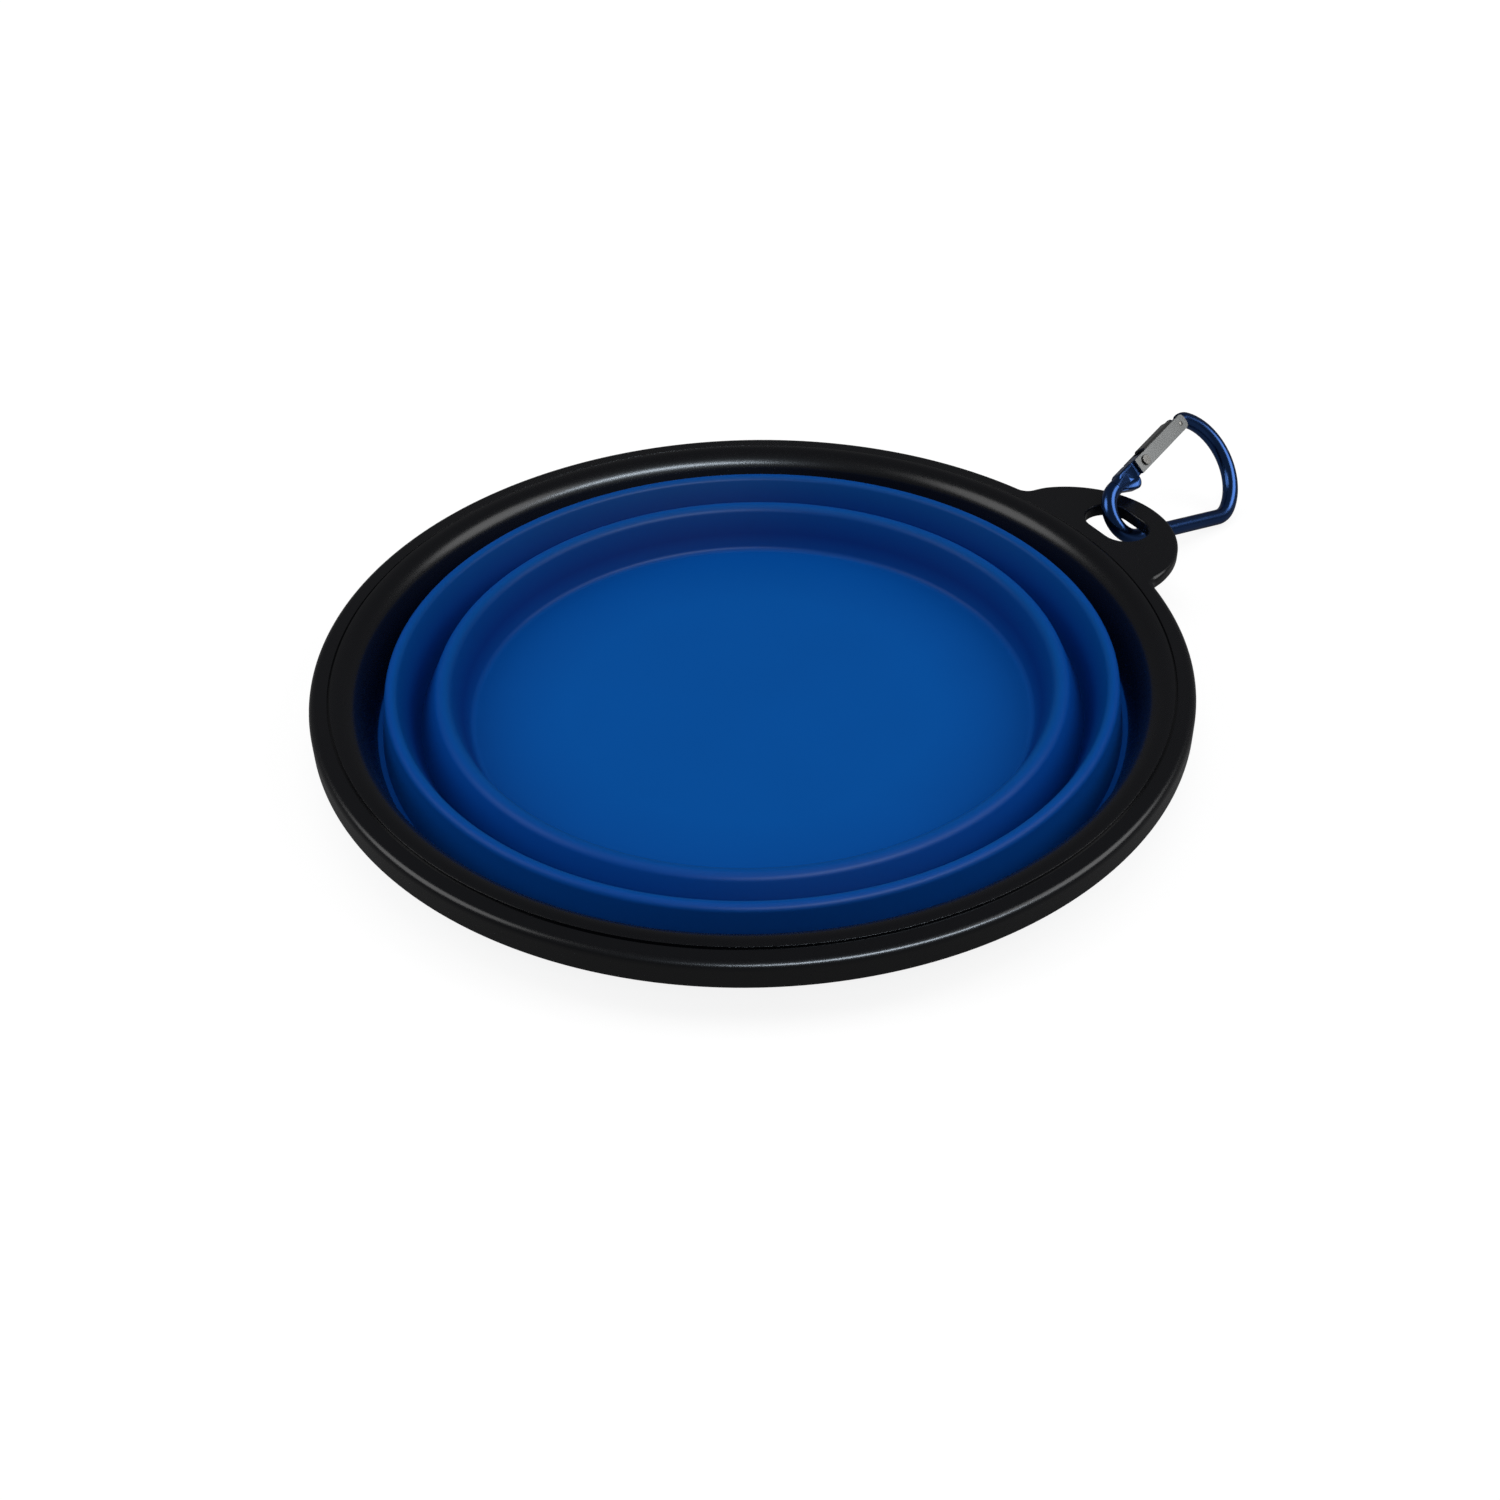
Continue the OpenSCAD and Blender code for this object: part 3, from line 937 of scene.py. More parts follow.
@dataclass
class BowlSizes:
    """Sizes that the bowl's pieces share, in millimetres."""

    rim_r: float = 90.0
    rim_w: float = 10.0
    rim_h: float = 14.0
    rim_t: float = 2.0
    crown_h: float = 0.4
    crown_r: float = 4.6
    wall_lean: float = 17.0
    valley_h: float = 0.4
    valley_r: float = 1.2
    valley_in: float = 1.0
    seat_gap: float = 0.1

    @property
    def crown_at(self) -> Point:
        """Centre of the rolled inner edge."""
        return (self.rim_r - self.rim_w + self.crown_r, self.rim_h + self.crown_h - self.crown_r)

    @property
    def wall_top(self) -> Point:
        """Top of the rim's inner wall."""
        return polar(self.crown_at, self.crown_r, 180 - self.wall_lean)

    @property
    def valley_z(self) -> float:
        """Height of the valleys' centres."""
        return self.valley_h + self.valley_r

    @property
    def foot_z(self) -> float:
        """Height of the foot of the rim's inner wall."""
        return self.valley_z + self.valley_r + self.seat_gap

    def down_to(self, at: Point, height: float) -> Point:
        """Returns the point at a height that the inner wall's slope leads to from another point."""
        return (at[0] - (at[1] - height) * tan(radians(self.wall_lean)), height)

    def off_wall(self, depth: float) -> Point:
        """Returns the wall's top, moved outwards through the wall by a depth."""
        return polar(self.wall_top, depth, -self.wall_lean)


@dataclass
class SiliconeBowl:
    """Silicone bowl: a floor, two stiff tiers, two fold webs and the collar in the rim."""

    sizes: BowlSizes
    floor_t: float = 2.0
    floor_fillet_r: float = 1.5
    web_t: float = 1.2
    tier_run: float = 4.3
    upper_web_run: float = 3.0
    lower_web_run: float = 5.9
    upper_crest_h: float = 13.2
    lower_crest_h: float = 11.6
    upper_crest_r: float = 1.4
    lower_crest_r: float = 2.0
    collar_t: float = 1.6
    collar_h: float = 7.0
    web_parts: int = 24

    @property
    def upper_valley(self) -> Point:
        """Centre of the upper valley."""
        foot = self.sizes.down_to(self.sizes.wall_top, self.sizes.foot_z)
        return (foot[0] - self.sizes.valley_in, self.sizes.valley_z)

    @property
    def upper_crest(self) -> Point:
        """Centre of the upper crest."""
        return (self.upper_valley[0] - self.upper_web_run, self.upper_crest_h - self.upper_crest_r)

    @property
    def lower_valley(self) -> Point:
        """Centre of the lower valley."""
        return (self.upper_crest[0] - self.tier_run, self.sizes.valley_z)

    @property
    def lower_crest(self) -> Point:
        """Centre of the lower crest."""
        return (self.lower_valley[0] - self.lower_web_run, self.lower_crest_h - self.lower_crest_r)

    @property
    def floor_edge(self) -> Point:
        """Centre of the floor's rounded edge."""
        return (self.lower_crest[0] - self.tier_run, self.floor_t / 2)

    @property
    def fold_radii(self) -> tuple[float, ...]:
        """Radii of the floor's edge, the crests and the valleys, from the axis out."""
        places = (self.floor_edge, self.lower_crest, self.lower_valley, self.upper_crest, self.upper_valley)
        return tuple(at[0] for at in places)

    def base_section(self) -> list[Point]:
        """Floor and lower tier, from the axis round to the axis.

        Returns:
            The points of the section.
        """
        edge, crest, half = self.floor_edge, self.lower_crest, self.floor_t / 2
        outer, inner = touch_angles(edge, crest, half, self.lower_crest_r)
        slope = radians(inner - 90)
        foot = polar(edge, half, inner)
        corner_x = foot[0] + (self.floor_t - foot[1]) / tan(slope)
        reach = self.floor_fillet_r * tan(slope / 2)
        fillet = (corner_x - reach, self.floor_t + self.floor_fillet_r)
        chain = Outline().start((0.0, 0.0))
        chain.line((edge[0] / 2, 0.0)).arc(edge, half, -90, outer)
        chain.arc(crest, self.lower_crest_r, outer, inner, step=5)
        chain.arc(fillet, self.floor_fillet_r, inner - 180, -90)
        chain.line((edge[0] / 2, self.floor_t)).line((0.0, self.floor_t))
        return chain.points

    def middle_section(self) -> list[Point]:
        """Middle tier, from the lower valley to the upper crest.

        Returns:
            The points of the closed section.
        """
        low, high = self.lower_valley, self.upper_crest
        r_low, r_high = self.sizes.valley_r, self.upper_crest_r
        outer, inner = touch_angles(low, high, r_low, r_high)
        start = along(polar(low, r_low, outer), polar(high, r_high, outer), 0.5)
        chain = Outline().start(start)
        chain.arc(high, r_high, outer, inner, step=5).arc(low, r_low, inner, outer + 360)
        return chain.close()

    def web_section(self, crest: Point, crest_r: float, valley: Point) -> list[Point]:
        """Fold web from inside a crest to inside a valley.

        Args:
            crest: Centre of the crest.
            crest_r: Radius of the crest.
            valley: Centre of the valley.

        Returns:
            The points of the closed section.
        """
        end_r = self.web_t - self.sizes.valley_r
        _, out = touch_angles(crest, valley, crest_r, end_r)
        top = (polar(crest, crest_r, out), polar(valley, end_r, out))
        low = (polar(valley, -self.sizes.valley_r, out), polar(crest, crest_r - self.web_t, out))
        shares = [i / self.web_parts for i in range(self.web_parts + 1)]
        return [along(*top, s) for s in shares] + [along(*low, s) for s in shares]

    def collar_section(self) -> list[Point]:
        """Upper valley and the collar behind the rim's inner wall.

        Returns:
            The points of the closed section.
        """
        s, half = self.sizes, self.collar_t / 2
        foot = s.down_to(s.off_wall(s.rim_t + s.seat_gap + half), s.valley_z)
        up = 90 - s.wall_lean
        top = polar(foot, self.collar_h, up)
        rise = degrees(acos(half / s.valley_r))
        inner_foot = s.down_to(polar(foot, -half, -s.wall_lean), s.valley_z + s.valley_r)
        chain = Outline().start(((self.upper_valley[0] + foot[0]) / 2, s.valley_h))
        chain.arc(foot, s.valley_r, -90, rise - s.wall_lean)
        chain.arc(top, half, -s.wall_lean, 180 - s.wall_lean)
        chain.line(inner_foot).arc(self.upper_valley, s.valley_r, 90, 270)
        return chain.close()

    def build(self, finish: Material) -> list[Piece]:
        """Makes the bowl's skins and sets the floor, the middle tier and the collar on their bodies.

        Args:
            finish: Finish of the silicone.

        Returns:
            The pieces.
        """
        base = revolved("bowl_base", self.base_section(), False, finish)
        middle = revolved("bowl_middle_tier", self.middle_section(), True, finish)
        collar = revolved("bowl_collar", self.collar_section(), True, finish)
        low_web = self.web_section(self.lower_crest, self.lower_crest_r, self.lower_valley)
        lower = revolved("bowl_lower_web", low_web, True, finish)
        high_web = self.web_section(self.upper_crest, self.upper_crest_r, self.upper_valley)
        upper = revolved("bowl_upper_web", high_web, True, finish)
        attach(base, Body.BASE.value)
        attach(middle, Body.MIDDLE.value)
        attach(collar, Body.RIM.value)
        for web, crest, bodies in (
            (lower, self.lower_crest, (Body.BASE, Body.MIDDLE)),
            (upper, self.upper_crest, (Body.MIDDLE, Body.RIM)),
        ):
            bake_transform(web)
        pairs = (
            (base, "base_cup"),
            (lower, "lower_web"),
            (middle, "middle_ring"),
            (upper, "upper_web"),
            (collar, "upper_ring"),
        )
        for piece, node in pairs:
            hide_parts(node)
        return [piece for piece, _ in pairs]


@dataclass
class MouldedRim:
    """Plastic rim: an open channel with a skirt, a groove, a rolled inner edge and a lug."""

    sizes: BowlSizes
    skirt_h: float = 5.5
    skirt_edge_r: float = 1.5
    groove_in: float = 4.0
    groove_w: float = 0.5
    groove_depth: float = 0.5
    groove_edge_r: float = 0.04
    # Degrees of the rolled edge that its lip beside the groove takes up
    lip_skip: float = 2.0
    foot_edge_r: float = 0.4
    roof_r: float = 0.8
    skirt_foot_r: float = 0.3
    lug_r: float = 22.6
    lug_reach: float = 16.5
    lug_t: float = 3.0
    lug_edge_r: float = 0.8
    # How far past the skirt the lug's top edge comes down to its own radius
    lug_edge_run: float = 5.0
    lug_blend_r: float = 3.0
    # How far the lug starts inside the skirt's rounded corner
    lug_root_in: float = 0.1
    # How far the lug's top lies under the rim's, so that the two faces stay apart
    lug_drop: float = 0.002
    # Radius of the lug's edges where the skirt hides them
    hidden_edge_r: float = 0.05
    slot_w: float = 10.6
    slot_l: float = 16.2
    slot_edge: float = 5.5
    slot_edge_r: float = 0.5

    @property
    def lug_at(self) -> float:
        """Distance of the lug's centre from the bowl's axis."""
        return self.sizes.rim_r + self.lug_reach - self.lug_r

    @property
    def slot_at(self) -> float:
        """Distance of the slot's centre from the bowl's axis."""
        return self.sizes.rim_r + self.lug_reach - self.slot_edge - self.slot_w / 2

    def section(self) -> list[Point]:
        """Section of the rim without its lug.

        Returns:
            The points of the closed section.
        """
        s = self.sizes
        band = s.rim_r - self.groove_in
        high, low = s.rim_h, s.rim_h - self.skirt_h
        edge = self.groove_edge_r
        inner = s.rim_r - s.rim_t
        lip = degrees(asin((band - self.groove_w / 2 - s.crown_at[0]) / s.crown_r))
        floor_z = high - self.groove_depth
        chain = Outline().start((s.rim_r, high - self.skirt_h / 2))
        chain.arc((s.rim_r - self.skirt_edge_r, high - self.skirt_edge_r), self.skirt_edge_r, 0, 90, step=6)
        right, left = band + self.groove_w / 2, band - self.groove_w / 2
        chain.arc((right + edge, high - edge), edge, 90, 180, step=30)
        chain.line((right, floor_z)).line((left, floor_z))
        lip_at = polar(s.crown_at, s.crown_r - edge, 90 - lip)
        chain.arc((left - edge, lip_at[1]), edge, 0, 90 - lip, step=30)
        chain.arc(s.crown_at, s.crown_r, 90 - lip + self.lip_skip, 180 - s.wall_lean, step=4)
        foot_in = s.down_to(s.wall_top, s.foot_z)
        foot_out = s.down_to(s.off_wall(s.rim_t), s.foot_z)
        r = self.foot_edge_r
        step_in = r * tan(radians(45 + s.wall_lean / 2))
        step_out = r * tan(radians(45 - s.wall_lean / 2))
        chain.arc((foot_in[0] + step_out, s.foot_z + r), r, 180 - s.wall_lean, 270, step=18)
        chain.arc((foot_out[0] - step_in, s.foot_z + r), r, 270, 360 - s.wall_lean, step=18)
        bore = s.crown_r - s.rim_t
        meet = 180 - degrees(asin((high - s.rim_t - s.crown_at[1]) / bore))
        chain.arc(s.crown_at, bore, 180 - s.wall_lean, meet)
        r = self.roof_r
        chain.arc((inner - r, high - s.rim_t - r), r, 90, 0, step=15)
        r = self.skirt_foot_r
        chain.arc((inner + r, low + r), r, 180, 270, step=22.5)
        chain.arc((s.rim_r - r, low + r), r, 270, 360, step=22.5)
        return chain.close()

    def lug_outline(self) -> PlateEdge:
        """Outline of the lug plate, which starts and ends inside the skirt.

        Its top edge grows rounder towards the skirt, and runs into the skirt's own rounded corner.

        Returns:
            The outline.
        """
        rim_r, blend_r, lug_at = self.sizes.rim_r, self.lug_blend_r, self.lug_at
        far, near = rim_r + blend_r, self.lug_r + blend_r
        x = (far**2 - near**2 + lug_at**2) / (2 * lug_at)
        y = sqrt(far**2 - x**2)
        theta = degrees(atan2(y, x))
        phi = degrees(atan2(y, x - lug_at))
        root = rim_r - self.skirt_edge_r - self.lug_root_in
        outline = PlateEdge([], [], [], [])

        def stroke(
            centre: Point, radius: float, first: float, last: float, step: float, inward: int
        ) -> None:
            """Adds an arc whose points move inwards along its radius, or stay."""
            count = ceil(abs(last - first) / step)
            for k in range(count + 1):
                angle = first + (last - first) * k / count
                at = polar(centre, radius, angle)
                share = min(1.0, max(0.0, (hypot(*at) - rim_r) / self.lug_edge_run))
                # The change starts and ends softly
                share = share * share * (3 - 2 * share)
                edge = self.skirt_edge_r + (self.lug_edge_r - self.skirt_edge_r) * share
                outline.points.append(at)
                outline.inward.append(polar((0.0, 0.0), float(inward), angle))
                outline.top.append(edge if inward else self.hidden_edge_r)
                outline.low.append(self.lug_edge_r if inward else self.hidden_edge_r)

        stroke((x, -y), blend_r, 180 - theta, 180 - phi, step=4, inward=1)
        stroke((lug_at, 0.0), self.lug_r, -phi, phi, step=2, inward=-1)
        stroke((x, y), blend_r, 180 + phi, 180 + theta, step=4, inward=1)
        stroke((0.0, 0.0), root, theta, -theta, step=0.8, inward=0)
        return outline

    def slot_outline(self) -> list[Point]:
        """Outline of the slot, clockwise.

        Returns:
            The points.
        """
        half, r = (self.slot_l - self.slot_w) / 2, self.slot_w / 2
        chain = Outline(hold=0.02).start((self.slot_at + r, 0.0))
        chain.arc((self.slot_at, half), r, 0, 180, step=4).arc((self.slot_at, -half), r, 180, 360, step=4)
        return chain.close()[::-1]

    def build(self, finish: Material) -> list[Piece]:
        """Makes the rim and sets it on its body.

        Args:
            finish: Finish of the plastic.

        Returns:
            The pieces.
        """
        ring = revolved("ring", self.section(), True, finish)
        outlines = [self.lug_outline(), PlateEdge.even(self.slot_outline(), self.slot_edge_r)]
        top = self.sizes.rim_h - self.lug_drop
        lug = plate("lug", outlines, (top - self.lug_t, top), finish, Matrix.Identity(4))
        rim = join("rim_moulding", [ring, lug])
        rim.data.set_sharp_from_angle(angle=SHARP_TURN)
        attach(rim, Body.RIM.value)
        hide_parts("rim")
        return [rim]


@dataclass
class ClipPlane:
    """Where the clip and its gate lie, in millimetres and degrees."""

    slot_at: float
    rim_h: float
    out: float = 7.0
    side: float = 0.2
    drop: float = 6.1
    yaw: float = 6.5
    pitch: float = 11.5
    tilt: float = 47.0
    narrow_r: float = 6.1
    gate_angle: float = 23.5

    @property
    def pose(self) -> Matrix:
        """Place of the clip's own plane: X along the spine, in metres."""
        turn = (
            Matrix.Rotation(radians(self.yaw), 4, "Z")
            @ Matrix.Rotation(radians(self.pitch), 4, "Y")
            @ Matrix.Rotation(radians(self.tilt), 4, "X")
        )
        at = Vector((self.slot_at + self.out, self.side, self.rim_h - self.drop)) * MM
        return Matrix.Translation(at) @ turn

    @property
    def gate_line_at(self) -> Point:
        """Where the gate's line starts, over the narrow end."""
        return polar((0.0, self.narrow_r), self.narrow_r, 90 + self.gate_angle)

    @property
    def gate_pose(self) -> Matrix:
        """Place of the gate: X along it, Y outwards, Z across the clip."""
        x, y = self.gate_line_at
        return (
            self.pose
            @ Matrix.Translation(Vector((x, y, 0)) * MM)
            @ Matrix.Rotation(radians(self.gate_angle), 4, "Z")
        )


@dataclass
class ClipFrame:
    """Bent wire of the clip, pressed flat at the paddle, with its tang and its tongue."""

    plane: ClipPlane
    wire_d: float = 3.6
    wide_r: float = 13.3
    wide_h: float = 11.9
    corner_r: float = 7.0
    nose_r: float = 2.8
    spine_l: float = 28.2
    paddle_t: float = 2.8
    paddle_w: float = 5.8
    paddle_l: float = 6.6
    paddle_gap: float = 1.0
    paddle_spread: float = 0.2
    paddle_edge_r: float = 0.45
    paddle_corner_r: float = 0.7
    paddle_back_r: float = 2.0
    paddle_back_turn: float = 40.0
    # Share of the paddle's length that the round wire runs into
    path_in_paddle: float = 0.6
    # How far the pressed wire lies under the paddle's faces
    press_depth: float = 0.02
    tang_t: float = 2.4
    tang_edge_r: float = 0.2
    # Share of the tang's half height that its corners are rounded by
    tang_round: float = 0.95
    # How far the tongue runs on into the nose
    tongue_in: float = 0.5
    tongue_corner_r: float = 0.4
    pivot_in: float = 12.2
    gate_tail: float = 3.0
    gate_h: float = 4.1
    gate_t: float = 0.5
    back_end: float = 4.5
    side_gap: float = 0.1
    wire_sides: int = 40

    @property
    def wide_at(self) -> Point:
        """Centre of the wide end."""
        drop = self.wide_h - self.corner_r
        return (self.spine_l - sqrt((self.wide_r - self.corner_r) ** 2 - drop**2), self.wide_h)

    @property
    def nose_along(self) -> float:
        """Distance of the nose along the gate's line."""
        turn = radians(self.plane.gate_angle)
        x = self.wide_at[0] - self.plane.gate_line_at[0]
        y = self.wide_at[1] - self.plane.gate_line_at[1]
        run = x * cos(turn) + y * sin(turn)
        inward = x * sin(turn) - y * cos(turn)
        return run + sqrt((self.wide_r - self.nose_r) ** 2 - (inward - self.nose_r) ** 2)

    @property
    def paddle_start(self) -> float:
        """Where the paddle starts along the gate's line."""
        return self.pivot_in - self.gate_tail - self.paddle_gap - self.paddle_l

    def on_gate(self, x: float, y: float) -> Point:
        """Returns the clip's point that lies x along the gate's line and y outwards from it."""
        at = polar(self.plane.gate_line_at, x, self.plane.gate_angle)
        return polar(at, y, 90 + self.plane.gate_angle)

    def path(self) -> list[Point]:
        """Centre line of the wire, from inside the paddle round to the nose.

        Returns:
            The points, in the clip's plane.
        """
        gate = 90 + self.plane.gate_angle
        corner = (self.spine_l, self.corner_r)
        nose = self.on_gate(self.nose_along, -self.nose_r)
        wide = self.wide_at
        corner_end = degrees(atan2(corner[1] - wide[1], corner[0] - wide[0]))
        nose_start = degrees(atan2(nose[1] - wide[1], nose[0] - wide[0]))
        first = self.on_gate(self.paddle_start + self.paddle_l * self.path_in_paddle, 0)
        chain = Outline(hold=0.3).start(first)
        chain.line(self.on_gate(self.paddle_start - self.wire_d / 2, 0), parts=16)
        chain.arc((0.0, self.plane.narrow_r), self.plane.narrow_r, gate, 270, step=4)
        chain.line((self.spine_l, 0.0), parts=12)
        chain.arc(corner, self.corner_r, -90, corner_end, step=4)
        chain.arc(wide, self.wide_r, corner_end, nose_start, step=3)
        chain.arc(nose, self.nose_r, nose_start, gate, step=6)
        return chain.points

    def press(self, mesh: Mesh) -> None:
        """Presses the wire flat where it runs into the paddle.

        Args:
            mesh: Mesh of the wire, in the clip's plane.
        """
        back = self.plane.gate_pose.inverted() @ self.plane.pose
        forth = back.inverted()
        start = (self.paddle_start - self.wire_d / 2) * MM
        end = (self.paddle_start + self.paddle_l / 2) * MM
        half, flat = self.wire_d / 2 * MM, (self.paddle_t / 2 - self.press_depth) * MM
        for vertex in mesh.vertices:
            at = back @ vertex.co
            if at.x > start and abs(at.y) < 2 * half and at.x < end + 2 * half:
                share = min(1.0, (at.x - start) / (end - start))
                limit = half + (flat - half) * share
                at.z = max(-limit, min(limit, at.z))
                vertex.co = forth @ at

    def paddle_outline(self) -> list[Point]:
        """Outline of the paddle, counter-clockwise, in the gate's plane.

        Returns:
            The points.
        """
        half = self.wire_d / 2
        end_r, top = self.paddle_w / 3, half + self.paddle_spread
        start, end = self.paddle_start, self.paddle_start + self.paddle_l
        end_at = (end - end_r, top - self.paddle_w + end_r)
        neck = (start - half, -half / 2)
        reach = (end_at[0] - neck[0], end_at[1] - neck[1])
        bow = degrees(atan2(reach[1], reach[0]) - asin(end_r / hypot(*reach)))
        chain = Outline(hold=0.02).start(neck)
        chain.arc(end_at, end_r, bow - 90, 0, step=10)
        r, back_r = self.paddle_corner_r, self.paddle_back_r
        chain.arc((end - r, top - r), r, 0, 90, step=15)
        chain.arc((start + half, top - back_r), back_r, 90, 90 + self.paddle_back_turn, step=10)
        chain.line((start - half, half / 2))
        return chain.close()

    def flat(self, name: str, corners: list[Point], t: float, r: float, finish: Material) -> Piece:
        """Makes a flat end of the wire from its outline, t thick, with edges of radius r."""
        return plate(name, [PlateEdge.even(corners, r)], (-t / 2, t / 2), finish, self.plane.gate_pose)

    def build(self, finish: Material) -> list[Piece]:
        """Makes the frame and sets it on its body.

        Args:
            finish: Finish of the wire.

        Returns:
            The pieces.
        """
        chain = chain_mesh([Vector((x, y, 0)) * MM for x, y in self.path()], False)
        values = {"Wire radius": self.wire_d / 2 * MM, "Sides": self.wire_sides, "Material": finish}
        wire = run_tree("wire", chain, wire_tree(), values)
        self.press(wire.data)
        wire.data.transform(self.plane.pose)
        wire.data.set_sharp_from_angle(angle=SHARP_TURN)
        tang_r = (self.gate_h - self.gate_t) / 2
        end = self.paddle_start + self.paddle_l
        tang = rounded(
            box((end - tang_r, -tang_r), (self.pivot_in + tang_r, tang_r)), tang_r * self.tang_round
        )
        gate_end = self.nose_along - 2 * self.side_gap
        low = tang_r - self.gate_t
        tongue_start = gate_end - self.back_end + self.gate_t
        tongue = rounded(
            box((tongue_start, -low), (self.nose_along + self.tongue_in, low)), self.tongue_corner_r
        )
        parts = [
            wire,
            self.flat("paddle", self.paddle_outline(), self.paddle_t, self.paddle_edge_r, finish),
            self.flat("tang", tang, self.tang_t, self.tang_edge_r, finish),
            self.flat("tongue", tongue, self.tang_t, self.tang_edge_r, finish),
        ]
        frame = join("clip_wire", parts)
        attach(frame, Body.CLIP.value)
        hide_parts("clip_frame")
        return [frame]


@dataclass
class ClipGate:
    """Folded sheet gate with its rivet, latch pin, spring and plunger."""

    plane: ClipPlane
    frame: ClipFrame
    edge: float = 0.09
    spring_d: float = 2.2
    spring_wire_d: float = 0.36
    spring_turns: float = 6.0
    spring_l: float = 5.6
    plunger_head_h: float = 0.5

    @property
    def spring_at(self) -> float:
        """Where the spring starts along the gate's line."""
        tang_r = (self.frame.gate_h - self.frame.gate_t) / 2
        return self.frame.pivot_in + tang_r + 2 * self.frame.side_gap + self.plunger_head_h

    def spring(self, finish: Material) -> Piece:
        """Winds the spring in the gate's channel.

        Args:
            finish: Finish of the spring's wire.

        Returns:
            The piece.
        """
        values = {
            "Mean radius": (self.spring_d - self.spring_wire_d) / 2 * MM,
            "Length": (self.spring_l - self.spring_wire_d) * MM,
            "Turns": self.spring_turns,
            "Wire radius": self.spring_wire_d / 2 * MM,
            "Material": finish,
        }
        empty = bpy.data.meshes.new("no_path")
        coil = run_tree("gate_coil", empty, coil_tree(), values)
        at = Vector((self.spring_at + self.spring_wire_d / 2, 0, 0)) * MM
        turn = Matrix.Translation(at) @ Matrix.Rotation(radians(90), 4, "Y")
        coil.data.transform(self.plane.gate_pose @ turn)
        return coil

    def build(self, nodes: dict[str, Piece], sheet: Material, steel: Material) -> list[Piece]:
        """Makes the gate's pieces and sets them on their bodies.

        Args:
            nodes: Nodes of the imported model.
            sheet: Finish of the folded sheet.
            steel: Finish of the pins and the spring.

        Returns:
            The pieces.
        """
        gate = eased_copy("gate_sheet", nodes["clip_gate"], self.edge, sheet)
        rivet = eased_copy("gate_rivet_heads", nodes["gate_rivet"], self.edge, steel)
        pin = eased_copy("latch_cross_pin", nodes["latch_pin"], self.edge, steel)
        plunger = eased_copy("spring_plunger_pin", nodes["spring_plunger"], self.edge, steel)
        coil = self.spring(steel)
        table = (
            (gate, "clip_gate", Body.GATE, Slot.SHEET),
            (rivet, "gate_rivet", Body.CLIP, Slot.STEEL),
            (pin, "latch_pin", Body.GATE, Slot.STEEL),
            (plunger, "spring_plunger", Body.GATE, Slot.STEEL),
            (coil, "gate_spring", Body.GATE, Slot.STEEL),
        )
        for piece, node, body, slot in table:
            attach(piece, body.value)
            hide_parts(node)
        return [row[0] for row in table]


# The studio


class Shows(Enum):
    """What a lamp gives: light on matt surfaces, highlights, or both."""

    BOTH = "both"
    LIGHT = "light"
    HIGHLIGHTS = "highlights"


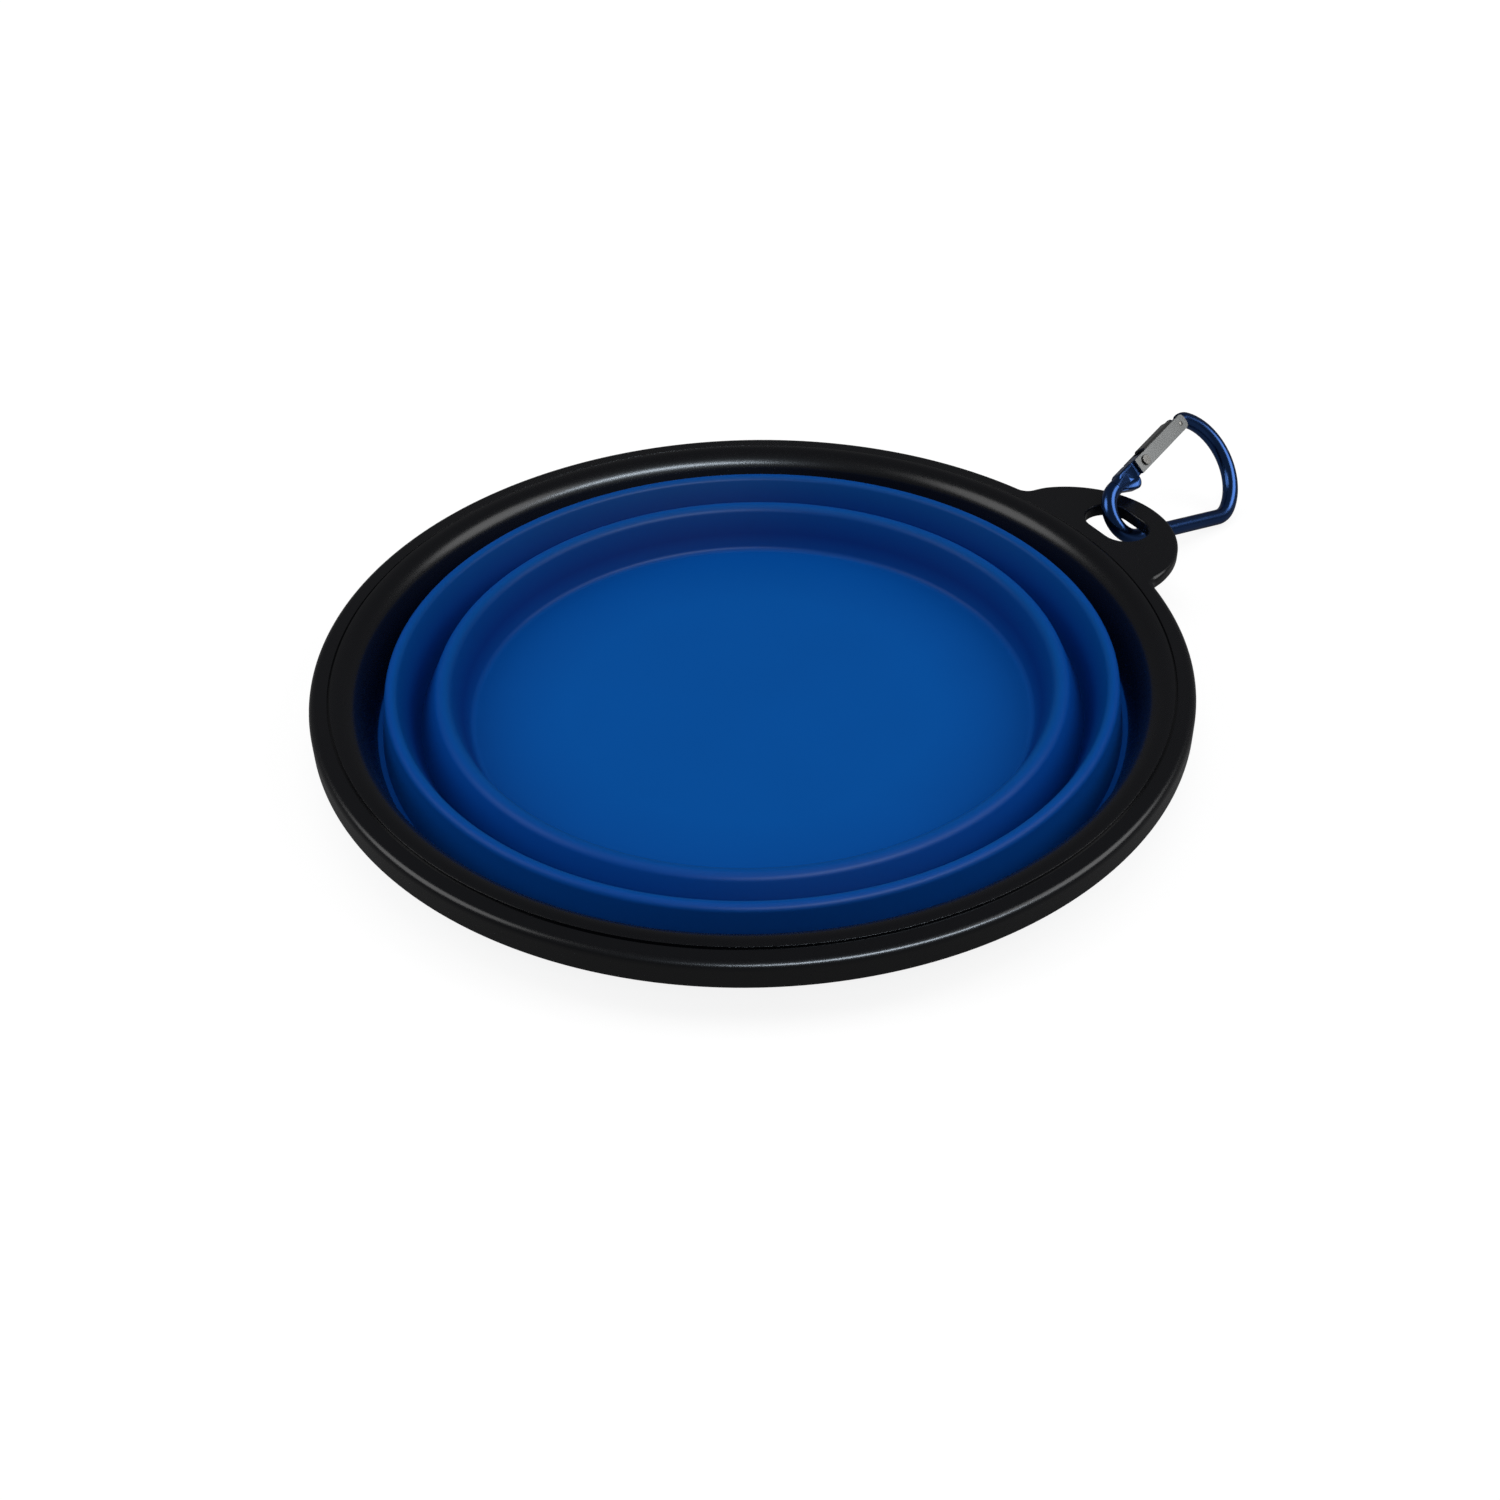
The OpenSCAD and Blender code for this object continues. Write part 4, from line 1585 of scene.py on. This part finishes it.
@dataclass
class Studio:
    """Camera at the photograph's view, a pale floor and soft light.

    The camera's distance and the centre's height are in millimetres, its lens and sensor too. The
    clips, the floor's sizes and the lamps' distance are in metres, and angles are in degrees.
    """

    lug_turn: float = 30.05
    distance: float = 400.0
    elevation: float = 36.32
    roll: float = -1.2273
    pan: float = 0.0970
    tilt: float = -2.1881
    focal: float = 46.2635
    sensor: float = 36.0
    centre_h: float = 8.5
    near_clip: float = 0.01
    far_clip: float = 20.0
    floor_half: float = 3.0
    floor_drop: float = 0.0003
    paper: str = "808080"
    paper_glow: float = 0.87
    shadow_reach: float = 0.2
    white_reach: float = 0.9
    room_level: float = 0.1
    lamp_reach: float = 1.15

    def camera(self) -> None:
        """Sets the camera where the photograph was taken from."""
        data = bpy.data.cameras.new("photo_camera")
        data.lens, data.sensor_width, data.sensor_fit = self.focal, self.sensor, "AUTO"
        data.clip_start, data.clip_end = self.near_clip, self.far_clip
        lift = radians(self.elevation)
        back = Vector((0, -cos(lift), sin(lift)))
        right = Vector((1, 0, 0))
        up = back.cross(right)
        place = back * self.distance
        turn = Matrix.Rotation(radians(self.pan), 3, up)
        turn = turn @ Matrix.Rotation(radians(self.tilt), 3, right)
        right, up, back = turn @ right, turn @ up, turn @ back
        spin = Matrix.Rotation(radians(self.roll), 3, back)
        right, up = spin @ right, spin @ up
        frame = Matrix((right, up, back)).transposed().to_4x4()
        frame.translation = place * MM
        world = Matrix.Translation((0, 0, self.centre_h * MM))
        world = world @ Matrix.Rotation(radians(-self.lug_turn), 4, "Z") @ frame
        camera = bpy.data.objects.new("photo_camera", data)
        camera.matrix_world = world
        bpy.context.scene.collection.objects.link(camera)
        bpy.context.scene.camera = camera

    def floor(self) -> None:
        """Lays the floor: pale, white to the camera, and it keeps the object's shadow."""
        mesh = bpy.data.meshes.new("studio_floor")
        corners = box((-self.floor_half, -self.floor_half), (self.floor_half, self.floor_half))
        mesh.from_pydata([(x, y, -self.floor_drop) for x, y in corners], [], [(0, 1, 2, 3)])
        floor = link("studio_floor", mesh)
        material = bpy.data.materials.new("studio_paper")
        tree = emptied(material)
        paper = add(tree, "ShaderNodeBsdfDiffuse", links={"Color": linear(self.paper)})
        ray = add(tree, "ShaderNodeLightPath")
        place = add(tree, "ShaderNodeTexCoord")
        span = (self.shadow_reach, self.white_reach)
        away = length_of(tree, place.outputs["Object"])
        white = remap(tree, away, span, (self.paper_glow, 1.0), "SMOOTHSTEP")
        seen = add(
            tree, "ShaderNodeMath", {"operation": "MULTIPLY"}, {0: ray.outputs["Is Camera Ray"], 1: white}
        )
        glow = add(tree, "ShaderNodeEmission", links={"Strength": seen.outputs[0]})
        both = add(tree, "ShaderNodeAddShader", links={0: paper.outputs[0], 1: glow.outputs[0]})
        add(tree, "ShaderNodeOutputMaterial", links={"Surface": both.outputs[0]})
        mesh.materials.append(material)

    def lamp(
        self,
        name: str,
        turn: float,
        lift: float,
        size: tuple[float, float],
        watts: float,
        shows: Shows,
        tint: str = "FFFFFF",
    ) -> None:
        """Hangs one soft lamp that looks at the bowl.

        Args:
            name: Name of the lamp.
            turn: Its direction round the bowl from the camera, in degrees, to the camera's right.
            lift: Its elevation, in degrees.
            size: Its width and height, in metres.
            watts: Its power.
            shows: What it gives.
            tint: Colour of its light, as six hex digits.
        """
        data = bpy.data.lights.new(name, "AREA")
        data.shape, data.energy = "ELLIPSE", watts
        data.size, data.size_y = size
        data.color = linear(tint)[:3]
        around = radians(-90 - self.lug_turn + turn)
        rise = radians(lift)
        way = Vector((cos(around) * cos(rise), sin(around) * cos(rise), sin(rise)))
        lamp = bpy.data.objects.new(name, data)
        lamp.visible_diffuse = shows is not Shows.HIGHLIGHTS
        lamp.visible_glossy = shows is not Shows.LIGHT
        facing = way.to_track_quat("Z", "Y").to_matrix().to_4x4()
        lamp.matrix_world = Matrix.Translation(way * self.lamp_reach) @ facing
        bpy.context.scene.collection.objects.link(lamp)

    def flag_card(self, lit: list[Piece]) -> None:
        """Keeps the card's light on some pieces only, as a flag beside it would.

        Args:
            lit: The pieces that its light falls on.
        """
        group = bpy.data.collections.new("lit_by_the_card")
        for piece in lit:
            group.objects.link(piece)
        bpy.data.objects["front_card"].light_linking.receiver_collection = group

    def world(self) -> None:
        """Sets the room's own light, white to the camera."""
        world = bpy.data.worlds.new("studio_room")
        bpy.context.scene.world = world
        tree = emptied(world)
        ray = add(tree, "ShaderNodeLightPath")
        strength = remap(tree, ray.outputs["Is Camera Ray"], (0.0, 1.0), (self.room_level, 1.0))
        room = add(tree, "ShaderNodeBackground", links={"Strength": strength})
        room.inputs["Color"].default_value = (1, 1, 1, 1)
        add(tree, "ShaderNodeOutputWorld", links={"Surface": room.outputs[0]})

    def build(self) -> None:
        """Sets up the camera, the floor and the light."""
        bpy.context.scene.view_settings.view_transform = "Standard"
        self.camera()
        self.floor()
        self.world()
        self.lamp("ceiling_lamp", 180, 86, (1.0, 1.0), 3.7, Shows.LIGHT)
        self.lamp("left_lamp", -90, 40, (0.8, 0.8), 3.8, Shows.BOTH)
        self.lamp("right_lamp", 90, 40, (0.8, 0.8), 4.2, Shows.BOTH)
        self.lamp("front_lamp", 0, 45, (0.4, 0.4), 1.3, Shows.LIGHT)
        self.lamp("front_card", 30, 46, (1.2, 0.18), 15.0, Shows.HIGHLIGHTS, "E4F2FF")


def main() -> None:
    """Builds the studio and the object, and reports each piece."""
    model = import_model()
    studio = Studio()
    studio.build()
    plastic = MouldedPlastic().material()
    anodised = AnodisedAluminium().material()
    sheet = SheetAluminium().material()
    steel = DrawnSteel().material()
    sizes = BowlSizes()
    bowl = SiliconeBowl(sizes)
    silicone = MouldedSilicone(fold_radii_mm=bowl.fold_radii).material()
    rim = MouldedRim(sizes)
    plane = ClipPlane(rim.slot_at, sizes.rim_h)
    frame = ClipFrame(plane)
    pieces = bowl.build(silicone)
    pieces += rim.build(plastic)
    studio.flag_card(pieces)
    pieces += frame.build(anodised)
    pieces += ClipGate(plane, frame).build(model["nodes"], sheet, steel)
    for piece in pieces:
        piece.data.calc_loop_triangles()
        LOG.info("%s: %d triangles", piece.name, len(piece.data.loop_triangles))


if __name__ == "__main__":
    logging.basicConfig(level=logging.INFO, format="%(name)s %(message)s")
    main()
